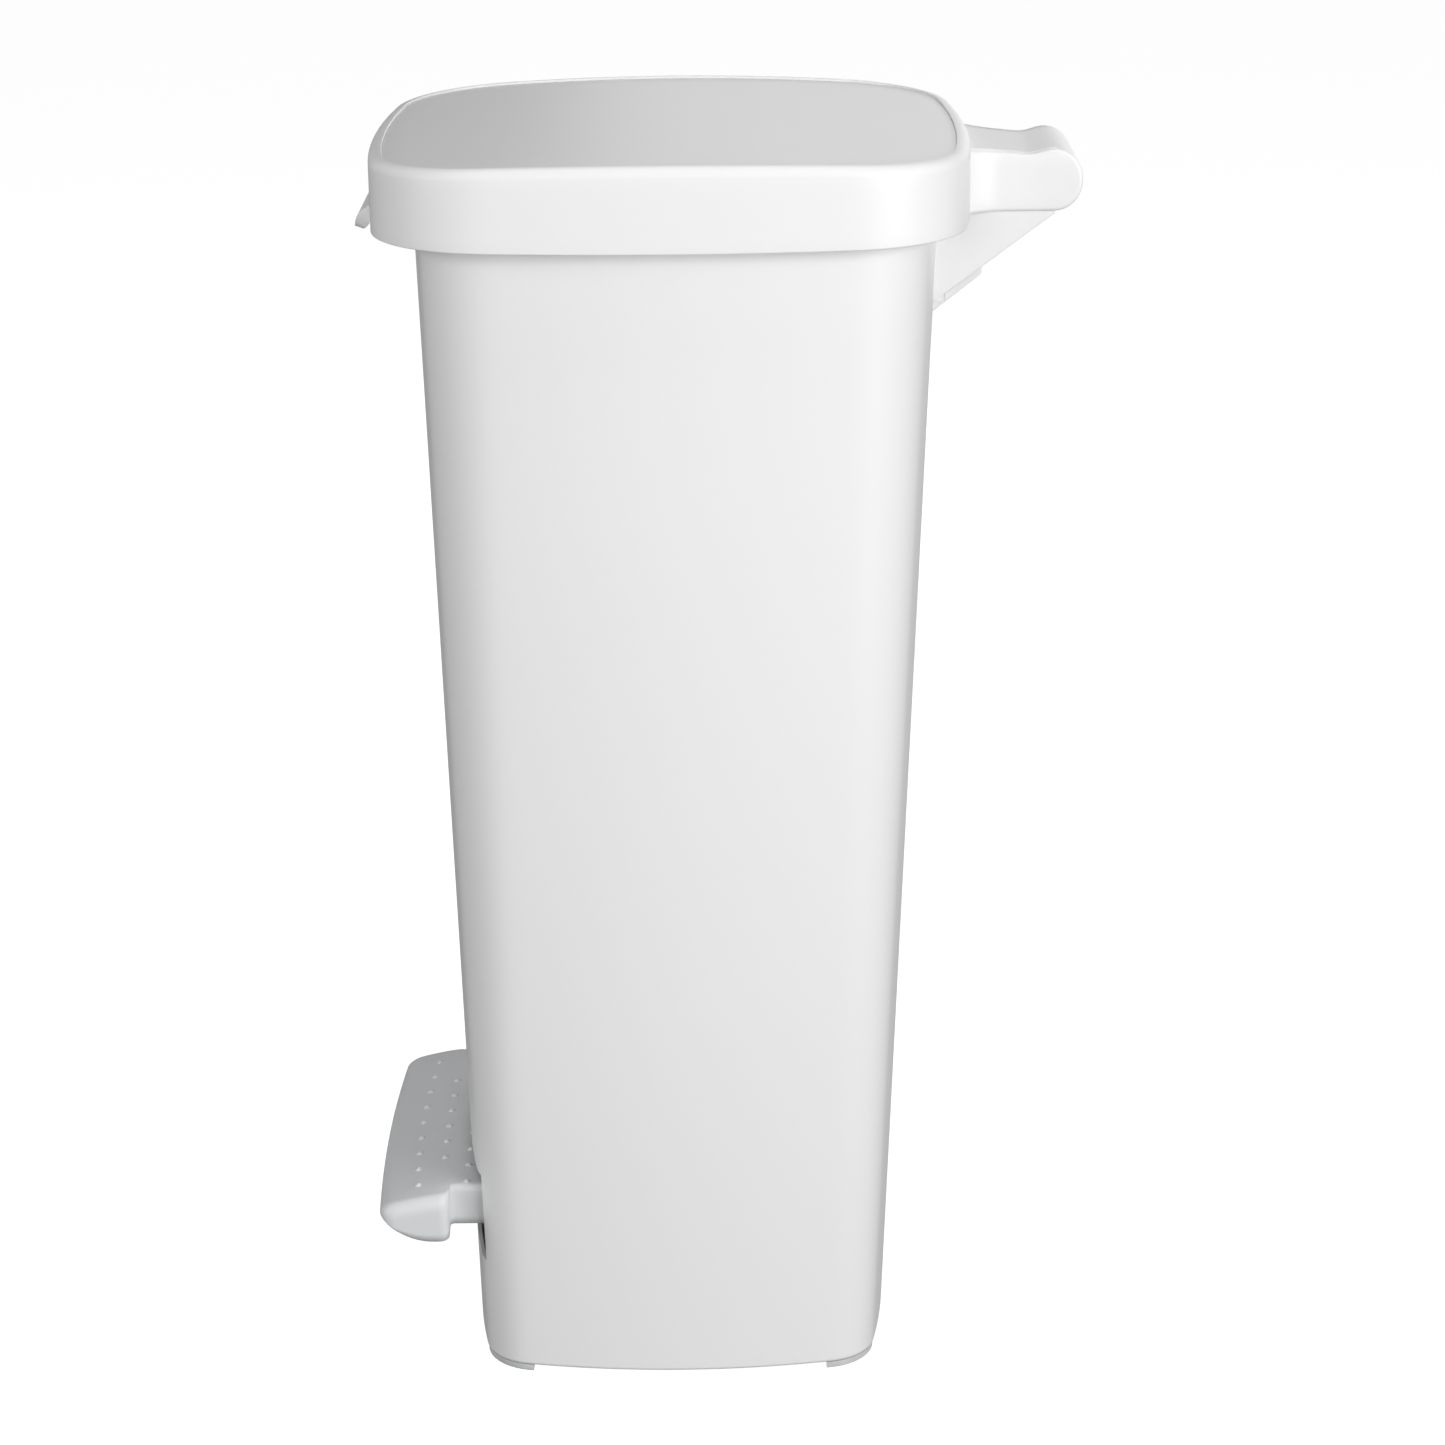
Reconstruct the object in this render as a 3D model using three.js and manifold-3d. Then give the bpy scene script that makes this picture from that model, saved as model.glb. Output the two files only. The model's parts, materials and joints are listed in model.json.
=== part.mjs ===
// Pedal bin: a tapered outer casing, a lift-out bucket, a hinged lid with a rear arm,
// and a pedal whose lever lifts a push rod that opens the lid.
// Millimetres, +Z up. The pedal faces -Y, the hinge is at +Y, and X runs across the bin.
import * as THREE from "three";
import { mergeVertices } from "three/addons/utils/BufferGeometryUtils.js";
import Module from "manifold-3d";

const wasm = await Module();
wasm.setup();

// ---------------------------------------------------------------- driving dimensions

const BIN_HEIGHT = 676; // floor to the top of the lid's crown

// The casing's plan is a rectangle with bowed sides and round corners, smaller at the floor.
const CASING_TOP = { width: 264, depth: 275.4, y: 0, bowX: 20.3, bowY: 18, corner: 48 };
const CASING_BOTTOM = { width: 230.6, depth: 230, y: -5.5, bowX: 16, bowY: 14.2, corner: 30 };
const CASING_WALL = 2.5;
const RIM_BELOW_TOP = 26; // the casing's rim below the lid's crown
const RIM_FLANGE = 8; // how far the rim turns outwards under the lid
const RIM_FLANGE_THICKNESS = 3.5;

const FOOT_HEIGHT = 3.7;
const FOOT_INSET = 0.8;
const FOOT_WIDTH = 14;
const FOOT_REACH = 34; // length of a foot along each side of its corner

const BASE_THICKNESS = 3;
const BASE_LIP = 12;
const BASE_LIP_WALL = 2.2;

const BUCKET_WALL = 2;
const BUCKET_FLANGE_THICKNESS = 2.5;
const BUCKET_FLANGE_INSET = 1.2;
const BUCKET_FLOOR_Z = 118; // above everything the pedal lever sweeps
const BUCKET_CLEARANCE = 13; // room for the push rod between casing and bucket
const FINGER_SLOT = { length: 80, width: 7 };

const LID_OVERHANG_X = 15.5;
const LID_OVERHANG_Y = 17.9;
const LID_FORWARD = 2.7; // the lid sits this much further forward than the casing
const LID_CORNER = 68;
const LID_BOW_X = 17.7;
const LID_BOW_Y = 14.3;
const LID_HEIGHT = 43.7;
const LID_WALL = 2.5;
const LID_CROWN = 5.1; // drop of the top surface from the middle to the front and rear
const LID_RIM_WIDTH = 7.2;
const LID_RIM_ROUND = 6;
const PANEL_RECESS = 1.2;
const PANEL_THICKNESS = 2.5;
const LEDGE_WIDTH = 7;
const LEDGE_THICKNESS = 2;

const TAB_WIDTH = 68;
const TAB_DROP = 8;
const TAB_REACH = 8.3;
const TAB_LIP = 2; // thickness of the tab's lower edge

const BUFFER_SPACING = 120;
const BUFFER_RADIUS = 3.5;
const BUFFER_HEIGHT = 2.7;
const BUFFER_RIB = 3;
const BUFFER_RIB_START = 4; // behind the lid's front face

const ARM_WIDTH = 76;
const ARM_WALL = 2.5;
const ARM_TOP_WALL = 3.2;
const ARM_END_LENGTH = 14.5; // hinge axis to the rear of the arm
const ARM_END_HEIGHT = 16.1; // hinge axis to the arm's top and underside
const ARM_DIP = { back: 12.3, drop: 2.8 }; // shallow dip in front of the hinge
const ARM_RISE = 0.6; // the arm's top at the lid, above its rounded end
const HINGE_SETBACK = 58.3; // hinge axis behind the casing's rear wall at its rim
const HINGE_BELOW_TOP = 28.4;
const HINGE_PIN_RADIUS = 3;
const HINGE_BORE_DEPTH = 1.8; // blind bore in each side wall of the arm
const CAP_EDGE_ANGLE = THREE.MathUtils.degToRad(3);
const CAP_INNER_RADIUS = 11.7;

const GUSSET_THICKNESS = 3.3;
const GUSSET_SIDE_GAP = 0.7;
const GUSSET_EYE_RADIUS = 9.5;
const GUSSET_HEIGHT = 44.5; // height of the gusset's edge on the casing wall
const GUSSET_LOW = 17.9; // hinge axis to the gusset's lowest rear corner
const GUSSET_TOE = 1; // how far that corner lies behind the hinge axis
const BRACKET_PLATE = 3;
const BRACKET_TOP_DROP = 1; // gusset's lowest rear corner to the top of the plate
const BRACKET_WEB = { width: 40, depth: 9, length: 25, nose: 2 };
const ROOT = 5; // how far a piece that joins a wall starts inside it
const BUSH_WALL = 2;
const SCREW_RADIUS = 1.9;
const SCREW_HEAD_RADIUS = 3.9;
const SCREW_HEAD_HEIGHT = 2.2;
const SCREW_HOLE_GAP = 0.3;
const BRACKET_SCREW_CLEARANCE = 5.6; // screw head to the gusset beside it
const BRACKET_SCREW_SPACING_Z = 20;

const ROD_RADIUS = 2.5;
const ROD_WALL_GAP = 6; // rod axis to the casing's inner wall
const ROD_CRANK_BELOW_TOP = 64;
const ROD_LEVER = 28; // rod axis in front of the hinge axis
const ROD_TRAVEL = 26;
const ROD_FOOT_GAP = 0.8;
const ROD_SLOT_GAP = 2.5;
const SHOE_RADIUS = 5.5;
const SHOE_HEIGHT = 8.5;
const SHOE_SOCKET = 6;
const PAD_BELOW_HINGE = 10.6;
const PAD_SIZE = { x: 14, y: 12 };
const GUIDE_WIDTH = 16;
const GUIDE_HEIGHT = 14;
const GUIDE_FRONT = 4.5; // rod axis to the guide's front face
const GUIDE_HEIGHTS = [170, 340, 510];

const PEDAL_WIDTH = 208;
const PEDAL_REACH = 48.8; // front wall to the middle of the pedal's front edge
const PEDAL_BOW = 3;
const PEDAL_CORNER = 9;
const PEDAL_TOP_Z = 105;
const PEDAL_WALL = 3;
const PEDAL_SKIRT_BACK = 8.2; // front wall to the rear of the pedal's skirt
const PEDAL_SKIRT_Z = 78.4;
const PEDAL_SLOPE_LENGTH = 34; // the front stretch of the top, which slopes down
const PEDAL_SLOPE = 0.21; // drop of the ceiling per millimetre of that stretch
const NECK_WIDTH = 174;
const NECK_THICKNESS = 23;
const NECK_INSIDE = 22; // how far the neck runs inside the casing
const SLOT_SIDE_GAP = 4;
const SLOT_TOP_GAP = 7;
const SLOT_BOTTOM_Z = 60;
const SLOT_BUFFER_WIDTH = 80;
const SLOT_BUFFER_HEIGHT = 4.2;

const PIVOT_Y = -30;
const PIVOT_Z = 60;
const PIVOT_PIN_RADIUS = 3;
const LEVER_WIDTH = 28;
const LEVER_THICKNESS = 8;
const LEVER_BOSS_RADIUS = 10;
const LEVER_FRONT = 12; // lever's front end ahead of the front wall
const BLOCK_THICKNESS = 8;
const BLOCK_LENGTH = 26;
const BLOCK_ABOVE_PIVOT = 12;
const BLOCK_SCREW_SPACING = 16;
const BLOCK_SCREW_DEPTH = 15;
const PIN_OVERHANG = 2;
const PEDAL_SCREW_SPACING = 18;
const PEDAL_SCREW_Y = 14; // in front of the front wall's inner face, inwards

const GAP = 0.3; // between pieces that touch
const RUNNING_GAP = 0.1; // round a pin that turns
const ROUND_SIDES = 24;
const SCREW_SIDES = 12;
const SIDE_STEPS = 4; // facets on half of a bowed side
const CORNER_STEPS = 6; // facets on a corner
const BEYOND = 40; // how far a cutting tool runs past what it cuts

// ---------------------------------------------------------------- derived places

const RIM_Z = BIN_HEIGHT - RIM_BELOW_TOP;
const FLOOR_EDGE_Z = FOOT_HEIGHT + GAP;
const SKIRT_Z = BIN_HEIGHT - LID_HEIGHT;
const HINGE_Z = BIN_HEIGHT - HINGE_BELOW_TOP;

// The casing's plan at height z, a straight blend between its two ends.
function casingAt(z) {
  const t = (z - FLOOR_EDGE_Z) / (RIM_Z - FLOOR_EDGE_Z);
  const blend = (key) => THREE.MathUtils.lerp(CASING_BOTTOM[key], CASING_TOP[key], t);
  return {
    hx: blend("width") / 2,
    hy: blend("depth") / 2,
    y: blend("y"),
    bowX: blend("bowX"),
    bowY: blend("bowY"),
    corner: blend("corner"),
  };
}

const LID_PLAN = {
  hx: CASING_TOP.width / 2 + LID_OVERHANG_X,
  hy: CASING_TOP.depth / 2 + LID_OVERHANG_Y,
  y: CASING_TOP.y - LID_FORWARD,
  bowX: LID_BOW_X,
  bowY: LID_BOW_Y,
  corner: LID_CORNER,
};

// Y of the casing's front or rear wall at height z and distance x from the middle; side is -1 or 1.
function wallY(side, z, x = 0, outset = 0) {
  const plan = casingAt(z);
  const radius = (plan.hx ** 2 + plan.bowY ** 2) / (2 * plan.bowY);
  const centre = plan.hy - radius;
  return plan.y + side * (centre + Math.sqrt((radius + outset) ** 2 - x ** 2));
}
const rearY = (z, outset = 0) => wallY(1, z, 0, outset);
const rodY = (z) => rearY(z, -CASING_WALL) - ROD_WALL_GAP;

const HINGE_Y = rearY(RIM_Z) + HINGE_SETBACK;
const FRONT_WALL_Y = wallY(-1, PEDAL_TOP_Z - NECK_THICKNESS / 2);
const FRONT_REACH = PEDAL_REACH - FRONT_WALL_Y;
const REAR_REACH = HINGE_Y + ARM_END_LENGTH;
const LID_FRONT_Y = LID_PLAN.y - LID_PLAN.hy;
const LEVER_TOP_Z = PEDAL_TOP_Z - PEDAL_WALL - GAP;
const LEVER_REAR_Z = PIVOT_Z + LEVER_THICKNESS / 2;
const CRANK_Z = BIN_HEIGHT - ROD_CRANK_BELOW_TOP;
const PAD_Z = HINGE_Z - PAD_BELOW_HINGE;
const GUSSET_OUTER_X = ARM_WIDTH / 2 - ARM_WALL - GUSSET_SIDE_GAP;
const BRACKET_TOP_Z = HINGE_Z - GUSSET_LOW - BRACKET_TOP_DROP;
const GUSSET_FOOT_Z = BRACKET_TOP_Z - GUSSET_HEIGHT;
const BRACKET_FACE_Y = rearY(BRACKET_TOP_Z) + BRACKET_PLATE;
const GUSSET_INNER_X = GUSSET_OUTER_X - GUSSET_THICKNESS;
const BRACKET_SCREW_X = GUSSET_INNER_X - SCREW_HEAD_RADIUS - BRACKET_SCREW_CLEARANCE;

// ---------------------------------------------------------------- solids

// A three.js geometry as a manifold-3d solid.
function solid(geometry) {
  const bare = geometry.index ? geometry.toNonIndexed() : geometry.clone();
  bare.deleteAttribute("normal");
  bare.deleteAttribute("uv");
  const merged = mergeVertices(bare, 1e-4);
  return new wasm.Manifold(
    new wasm.Mesh({
      numProp: 3,
      vertProperties: merged.attributes.position.array,
      triVerts: new Uint32Array(merged.index.array),
    }),
  );
}

const join = (first, ...others) => others.reduce((sum, other) => sum.add(other), first);
const cut = (first, ...tools) => tools.reduce((rest, tool) => rest.subtract(tool), first);
const common = (first, ...others) => others.reduce((sum, other) => sum.intersect(other), first);

function block([x0, x1], [y0, y1], [z0, z1]) {
  const geometry = new THREE.BoxGeometry(x1 - x0, y1 - y0, z1 - z0);
  return solid(geometry.translate((x0 + x1) / 2, (y0 + y1) / 2, (z0 + z1) / 2));
}

// A round bar between two points.
function bar(from, to, radius, sides = ROUND_SIDES) {
  const start = new THREE.Vector3(...from);
  const along = new THREE.Vector3(...to).sub(start);
  const geometry = new THREE.CylinderGeometry(radius, radius, along.length(), sides);
  const turn = new THREE.Quaternion().setFromUnitVectors(
    new THREE.Vector3(0, 1, 0),
    along.clone().normalize(),
  );
  geometry.applyQuaternion(turn);
  const middle = start.add(along.multiplyScalar(0.5));
  return solid(geometry.translate(middle.x, middle.y, middle.z));
}

// A bar across the bin at y, z.
const crossBar = (x0, x1, y, z, radius) => bar([x0, y, z], [x1, y, z], radius);

// A round bar that stands up along Z.
const upBar = (x, y, z0, z1, radius) => bar([x, y, z0], [x, y, z1], radius);

// A clearance hole for a screw.
const screwHole = (from, to) => bar(from, to, SCREW_RADIUS + SCREW_HOLE_GAP, SCREW_SIDES);

// A side profile, drawn in Y and Z, carried across the bin from x0 to x1.
function prism(shape, x0, x1) {
  const geometry = new THREE.ExtrudeGeometry(shape, {
    depth: x1 - x0,
    bevelEnabled: false,
    curveSegments: ROUND_SIDES / 2,
  });
  const acrossBin = new THREE.Matrix4().makeBasis(
    new THREE.Vector3(0, 1, 0),
    new THREE.Vector3(0, 0, 1),
    new THREE.Vector3(1, 0, 0),
  );
  return solid(geometry.applyMatrix4(acrossBin).translate(x0, 0, 0));
}
const polygon = (points) => new THREE.Shape(points.map(([y, z]) => new THREE.Vector2(y, z)));

// Points of a plan with bowed sides and round corners, moved inwards by inset.
// Each side is an arc about a point on its axis, and each corner an arc tangent to two sides.
function planPoints(plan, inset) {
  const radiusX = (plan.hy ** 2 + plan.bowX ** 2) / (2 * plan.bowX);
  const radiusY = (plan.hx ** 2 + plan.bowY ** 2) / (2 * plan.bowY);
  const centreX = plan.hx - radiusX;
  const centreY = plan.hy - radiusY;
  const spanX = radiusX - plan.corner;
  const spanY = radiusY - plan.corner;
  const apart = Math.hypot(centreX, centreY);
  const along = (apart ** 2 + spanX ** 2 - spanY ** 2) / (2 * apart);
  const across = Math.sqrt(spanX ** 2 - along ** 2);
  const towards = [-centreX / apart, centreY / apart];
  const cornerX = centreX + along * towards[0] - across * towards[1];
  const cornerY = along * towards[1] + across * towards[0];
  const angleX = Math.atan2(cornerY, cornerX - centreX);
  const angleY = Math.atan2(cornerY - centreY, cornerX);
  const quarter = [];
  const arc = (x, y, radius, from, to, steps) => {
    for (let i = 0; i < steps; i += 1) {
      const angle = THREE.MathUtils.lerp(from, to, i / steps);
      quarter.push([x + (radius - inset) * Math.cos(angle), y + (radius - inset) * Math.sin(angle)]);
    }
  };
  arc(centreX, 0, radiusX, 0, angleX, SIDE_STEPS);
  arc(cornerX, cornerY, plan.corner, angleX, angleY, CORNER_STEPS);
  arc(0, centreY, radiusY, angleY, Math.PI / 2, SIDE_STEPS);
  const top = [0, plan.hy - inset];
  const left = quarter.slice(1).reverse().map(([x, y]) => [-x, y]);
  const upper = [...quarter, top, ...left];
  const lower = [...upper.slice(1)].reverse().map(([x, y]) => [x, -y]);
  const leftmost = [-(plan.hx - inset), 0];
  return [...upper, leftmost, ...lower].map(([x, y]) => new THREE.Vector2(x, y + plan.y));
}

// A closed body through rings of equal point counts, from the lowest to the highest.
function loft(rings) {
  const count = rings[0].length;
  const positions = [];
  const push = (...points) => points.forEach((p) => positions.push(p.x, p.y, p.z));
  const centre = (ring) =>
    ring.reduce((sum, p) => sum.add(p), new THREE.Vector3()).divideScalar(count);
  const bottom = centre(rings[0]);
  const top = centre(rings[rings.length - 1]);
  for (let i = 0; i < count; i += 1) {
    const next = (i + 1) % count;
    push(bottom, rings[0][next], rings[0][i]);
    push(top, rings[rings.length - 1][i], rings[rings.length - 1][next]);
    for (let k = 0; k + 1 < rings.length; k += 1) {
      push(rings[k][i], rings[k][next], rings[k + 1][next]);
      push(rings[k][i], rings[k + 1][next], rings[k + 1][i]);
    }
  }
  const geometry = new THREE.BufferGeometry();
  geometry.setAttribute("position", new THREE.Float32BufferAttribute(positions, 3));
  return solid(geometry);
}

const flatRing = (plan, inset, z) =>
  planPoints(plan, inset).map((p) => new THREE.Vector3(p.x, p.y, z));
const casingRing = (inset, z) => flatRing(casingAt(z), inset, z);
const casingBody = (inset, z0, z1) => loft([casingRing(inset, z0), casingRing(inset, z1)]);

// A ring on the lid: the crown lowers the front and rear of its top, and fades out at the skirt's edge.
function lidRing(inset, z, shrink = 1) {
  const fade = (z - SKIRT_Z) / LID_HEIGHT;
  return planPoints(LID_PLAN, inset).map((p) => {
    const y = (p.y - LID_PLAN.y) * shrink;
    return new THREE.Vector3(
      p.x * shrink,
      LID_PLAN.y + y,
      z - LID_CROWN * fade * (y / LID_PLAN.hy) ** 2,
    );
  });
}
const INNER_RINGS = [0.66, 0.33];

// A body that fills the lid's plan from z0 to z1, with both faces crowned.
function lidBody(inset, z0, z1) {
  const under = [...INNER_RINGS].reverse().map((shrink) => lidRing(inset, z0, shrink));
  const over = INNER_RINGS.map((shrink) => lidRing(inset, z1, shrink));
  return loft([...under, lidRing(inset, z0), lidRing(inset, z1), ...over]);
}

// ---------------------------------------------------------------- group and finishes

const bin = new THREE.Group();

const FINISHES = {
  casing: { color: "#eff1f2", roughness: 0.45, metalness: 0 },
  pedal: { color: "#c9cdd0", roughness: 0.5, metalness: 0 },
  nylon: { color: "#e3e2dc", roughness: 0.4, metalness: 0 },
  rubber: { color: "#6d7174", roughness: 0.85, metalness: 0 },
  steel: { color: "#b9bdc1", roughness: 0.3, metalness: 1 },
};

// Adds a solid to the bin as a named mesh.
function add(name, body, finish) {
  const made = body.getMesh();
  const geometry = new THREE.BufferGeometry();
  geometry.setAttribute("position", new THREE.BufferAttribute(made.vertProperties, 3));
  geometry.setIndex(new THREE.BufferAttribute(made.triVerts, 1));
  geometry.computeVertexNormals();
  const mesh = new THREE.Mesh(geometry, new THREE.MeshStandardMaterial(FINISHES[finish]));
  mesh.name = name;
  bin.add(mesh);
}

const SIDES = [
  ["left", -1],
  ["right", 1],
];

// Where the bracket's four screws go, as [number, x, z].
const bracketScrews = [-1, 1].flatMap((across) =>
  [-1, 1].map((up) => [
    across * BRACKET_SCREW_X,
    BRACKET_TOP_Z - BRACKET_SCREW_SPACING_Z + (up * BRACKET_SCREW_SPACING_Z) / 2,
  ]),
);

// ---------------------------------------------------------------- casing, base and feet

// The slot that the pedal's neck passes through, in the casing's front wall.
function pedalSlot() {
  const half = NECK_WIDTH / 2 + SLOT_SIDE_GAP;
  return block(
    [-half, half],
    [FRONT_WALL_Y - BEYOND, FRONT_WALL_Y + BEYOND],
    [SLOT_BOTTOM_Z, PEDAL_TOP_Z + SLOT_TOP_GAP],
  );
}

// The slot that the push rod's crank rises in, cut through the rear wall and the bracket's plate.
function rodSlot() {
  const half = ROD_RADIUS + ROD_SLOT_GAP;
  const wall = rearY(CRANK_Z);
  return block(
    [-half, half],
    [wall - ROD_WALL_GAP, BRACKET_FACE_Y + BRACKET_PLATE],
    [CRANK_Z - half, CRANK_Z + ROD_TRAVEL + half],
  );
}

function addCasing() {
  const shell = cut(
    join(
      casingBody(0, FLOOR_EDGE_Z, RIM_Z),
      loft([
        casingRing(0, RIM_Z - RIM_FLANGE_THICKNESS - RIM_FLANGE / 2),
        casingRing(-RIM_FLANGE, RIM_Z - RIM_FLANGE_THICKNESS),
        casingRing(-RIM_FLANGE, RIM_Z),
      ]),
    ),
    casingBody(CASING_WALL, FLOOR_EDGE_Z - BEYOND, RIM_Z + BEYOND),
    pedalSlot(),
    rodSlot(),
    ...bracketScrews.map(([x, z]) =>
      screwHole([x, rearY(z) - BEYOND / 2, z], [x, rearY(z) + BEYOND / 2, z]),
    ),
  );
  add("outer_casing", shell, "casing");
}

// Screw places in a bearing block, as [x, y].
const blockScrews = (side) =>
  [-1, 1].map((along) => [
    side * (LEVER_WIDTH / 2 + PIN_OVERHANG + BLOCK_THICKNESS / 2),
    PIVOT_Y + (along * BLOCK_SCREW_SPACING) / 2,
  ]);

function addBase() {
  const inset = CASING_WALL + GAP;
  const floorTop = FLOOR_EDGE_Z + BASE_THICKNESS;
  const tray = cut(
    casingBody(inset, FLOOR_EDGE_Z, FLOOR_EDGE_Z + BASE_LIP),
    casingBody(inset + BASE_LIP_WALL, floorTop, floorTop + BEYOND),
    ...SIDES.flatMap(([, side]) =>
      blockScrews(side).map(([x, y]) =>
        screwHole([x, y, FLOOR_EDGE_Z - 1], [x, y, floorTop + 1]),
      ),
    ),
  );
  add("base_plate", tray, "casing");
}

function addFeet() {
  const plan = casingAt(FLOOR_EDGE_Z);
  const band = cut(
    loft([flatRing(plan, FOOT_INSET, 0), flatRing(plan, FOOT_INSET, FOOT_HEIGHT)]),
    loft([
      flatRing(plan, FOOT_INSET + FOOT_WIDTH, -1),
      flatRing(plan, FOOT_INSET + FOOT_WIDTH, FOOT_HEIGHT + 1),
    ]),
  );
  for (const [endName, end] of [
    ["front", -1],
    ["rear", 1],
  ]) {
    for (const [sideName, side] of SIDES) {
      const xs = [side * (plan.hx - FOOT_REACH), side * (plan.hx + BEYOND)].sort((a, b) => a - b);
      const ys = [plan.y + end * (plan.hy - FOOT_REACH), plan.y + end * (plan.hy + BEYOND)];
      ys.sort((a, b) => a - b);
      const corner = common(band, block(xs, ys, [-BEYOND, BEYOND]));
      add(`foot_${endName}_${sideName}`, corner, "rubber");
    }
  }
}

// ---------------------------------------------------------------- bucket

function addBucket() {
  const inset = CASING_WALL + BUCKET_CLEARANCE;
  const flangeZ = RIM_Z + GAP;
  const topZ = flangeZ + BUCKET_FLANGE_THICKNESS;
  const rim = casingAt(RIM_Z);
  const slotX = rim.hx - CASING_WALL - BUCKET_CLEARANCE / 2;
  const slot = (side) =>
    block(
      [side * slotX - FINGER_SLOT.width / 2, side * slotX + FINGER_SLOT.width / 2],
      [rim.y - FINGER_SLOT.length / 2, rim.y + FINGER_SLOT.length / 2],
      [flangeZ - 1, topZ + 1],
    );
  const bucket = cut(
    join(
      loft([
        casingRing(inset + BUCKET_WALL * 2, BUCKET_FLOOR_Z),
        casingRing(inset, BUCKET_FLOOR_Z + BUCKET_WALL * 2),
        flatRing(rim, inset, topZ),
      ]),
      loft([flatRing(rim, BUCKET_FLANGE_INSET, flangeZ), flatRing(rim, BUCKET_FLANGE_INSET, topZ)]),
    ),
    loft([
      casingRing(inset + BUCKET_WALL * 3, BUCKET_FLOOR_Z + BUCKET_WALL),
      casingRing(inset + BUCKET_WALL, BUCKET_FLOOR_Z + BUCKET_WALL * 3),
      flatRing(rim, inset + BUCKET_WALL, topZ + 1),
    ]),
    slot(-1),
    slot(1),
  );
  add("inner_bucket", bucket, "casing");
}

// ---------------------------------------------------------------- lid

const panelTopZ = BIN_HEIGHT - PANEL_RECESS;
const panelUnderZ = panelTopZ - PANEL_THICKNESS;
const ledgeTopZ = panelUnderZ - GAP;
const ledgeUnderZ = ledgeTopZ - LEDGE_THICKNESS;

// The arm's side profile: a shallow dip, then a rounded end about the hinge.
function armProfile(frontY) {
  const topZ = HINGE_Z + ARM_END_HEIGHT;
  const shape = new THREE.Shape();
  shape.moveTo(frontY, HINGE_Z - ARM_END_HEIGHT);
  shape.lineTo(HINGE_Y, HINGE_Z - ARM_END_HEIGHT);
  shape.absellipse(HINGE_Y, HINGE_Z, ARM_END_LENGTH, ARM_END_HEIGHT, -Math.PI / 2, Math.PI / 2);
  shape.quadraticCurveTo(HINGE_Y - ARM_DIP.back / 2, topZ, HINGE_Y - ARM_DIP.back, topZ - ARM_DIP.drop);
  shape.lineTo(frontY, topZ + ARM_RISE);
  return shape;
}

// The hollow inside the arm, open below and to the rear under the end cap's edge.
function armHollow(frontY) {
  const half = ARM_WIDTH / 2 - ARM_WALL;
  const underZ = HINGE_Z - ARM_END_HEIGHT - BEYOND / 4;
  const ceilingZ = HINGE_Z + ARM_END_HEIGHT - ARM_DIP.drop - ARM_TOP_WALL;
  const edgeZ = HINGE_Z + CAP_INNER_RADIUS * Math.sin(CAP_EDGE_ANGLE);
  const rise = Math.asin((ceilingZ - HINGE_Z) / CAP_INNER_RADIUS);
  const shape = new THREE.Shape();
  shape.moveTo(frontY, underZ);
  shape.lineTo(REAR_REACH + BEYOND, underZ);
  shape.lineTo(REAR_REACH + BEYOND, edgeZ);
  shape.lineTo(HINGE_Y + CAP_INNER_RADIUS * Math.cos(CAP_EDGE_ANGLE), edgeZ);
  shape.absarc(HINGE_Y, HINGE_Z, CAP_INNER_RADIUS, CAP_EDGE_ANGLE, rise, false);
  shape.lineTo(frontY, ceilingZ);
  return prism(shape, -half, half);
}

// The finger tab that hangs from the middle of the lid's front edge and flares outwards.
function fingerTab() {
  const inside = LID_FRONT_Y + LID_WALL - GAP;
  const rootZ = SKIRT_Z + ROOT;
  const lipZ = SKIRT_Z - TAB_DROP;
  const lipY = LID_FRONT_Y - TAB_REACH;
  const shape = new THREE.Shape();
  shape.moveTo(inside, rootZ);
  shape.lineTo(inside, SKIRT_Z);
  shape.quadraticCurveTo(inside, (SKIRT_Z + lipZ) / 2, (inside + lipY) / 2, lipZ);
  shape.lineTo(lipY + TAB_LIP / 2, lipZ);
  shape.lineTo(lipY, lipZ + TAB_LIP);
  shape.quadraticCurveTo(LID_FRONT_Y, (rootZ + lipZ) / 2, LID_FRONT_Y + GAP, rootZ);
  return prism(shape, -TAB_WIDTH / 2, TAB_WIDTH / 2);
}

// Where the lid's two rubber buffers stand on the casing's rim, as [x, y].
function bufferPlace(side) {
  const x = side * (BUFFER_SPACING / 2);
  return [x, wallY(-1, RIM_Z, x, RIM_FLANGE / 2)];
}

// The rib under the lid that lands on one buffer.
function bufferRib(side) {
  const [x, y] = bufferPlace(side);
  return block(
    [x - BUFFER_RIB / 2, x + BUFFER_RIB / 2],
    [LID_FRONT_Y + BUFFER_RIB_START, y + BUFFER_RADIUS],
    [RIM_Z + GAP + BUFFER_HEIGHT + GAP, ledgeUnderZ - LID_CROWN + 1],
  );
}

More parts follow.
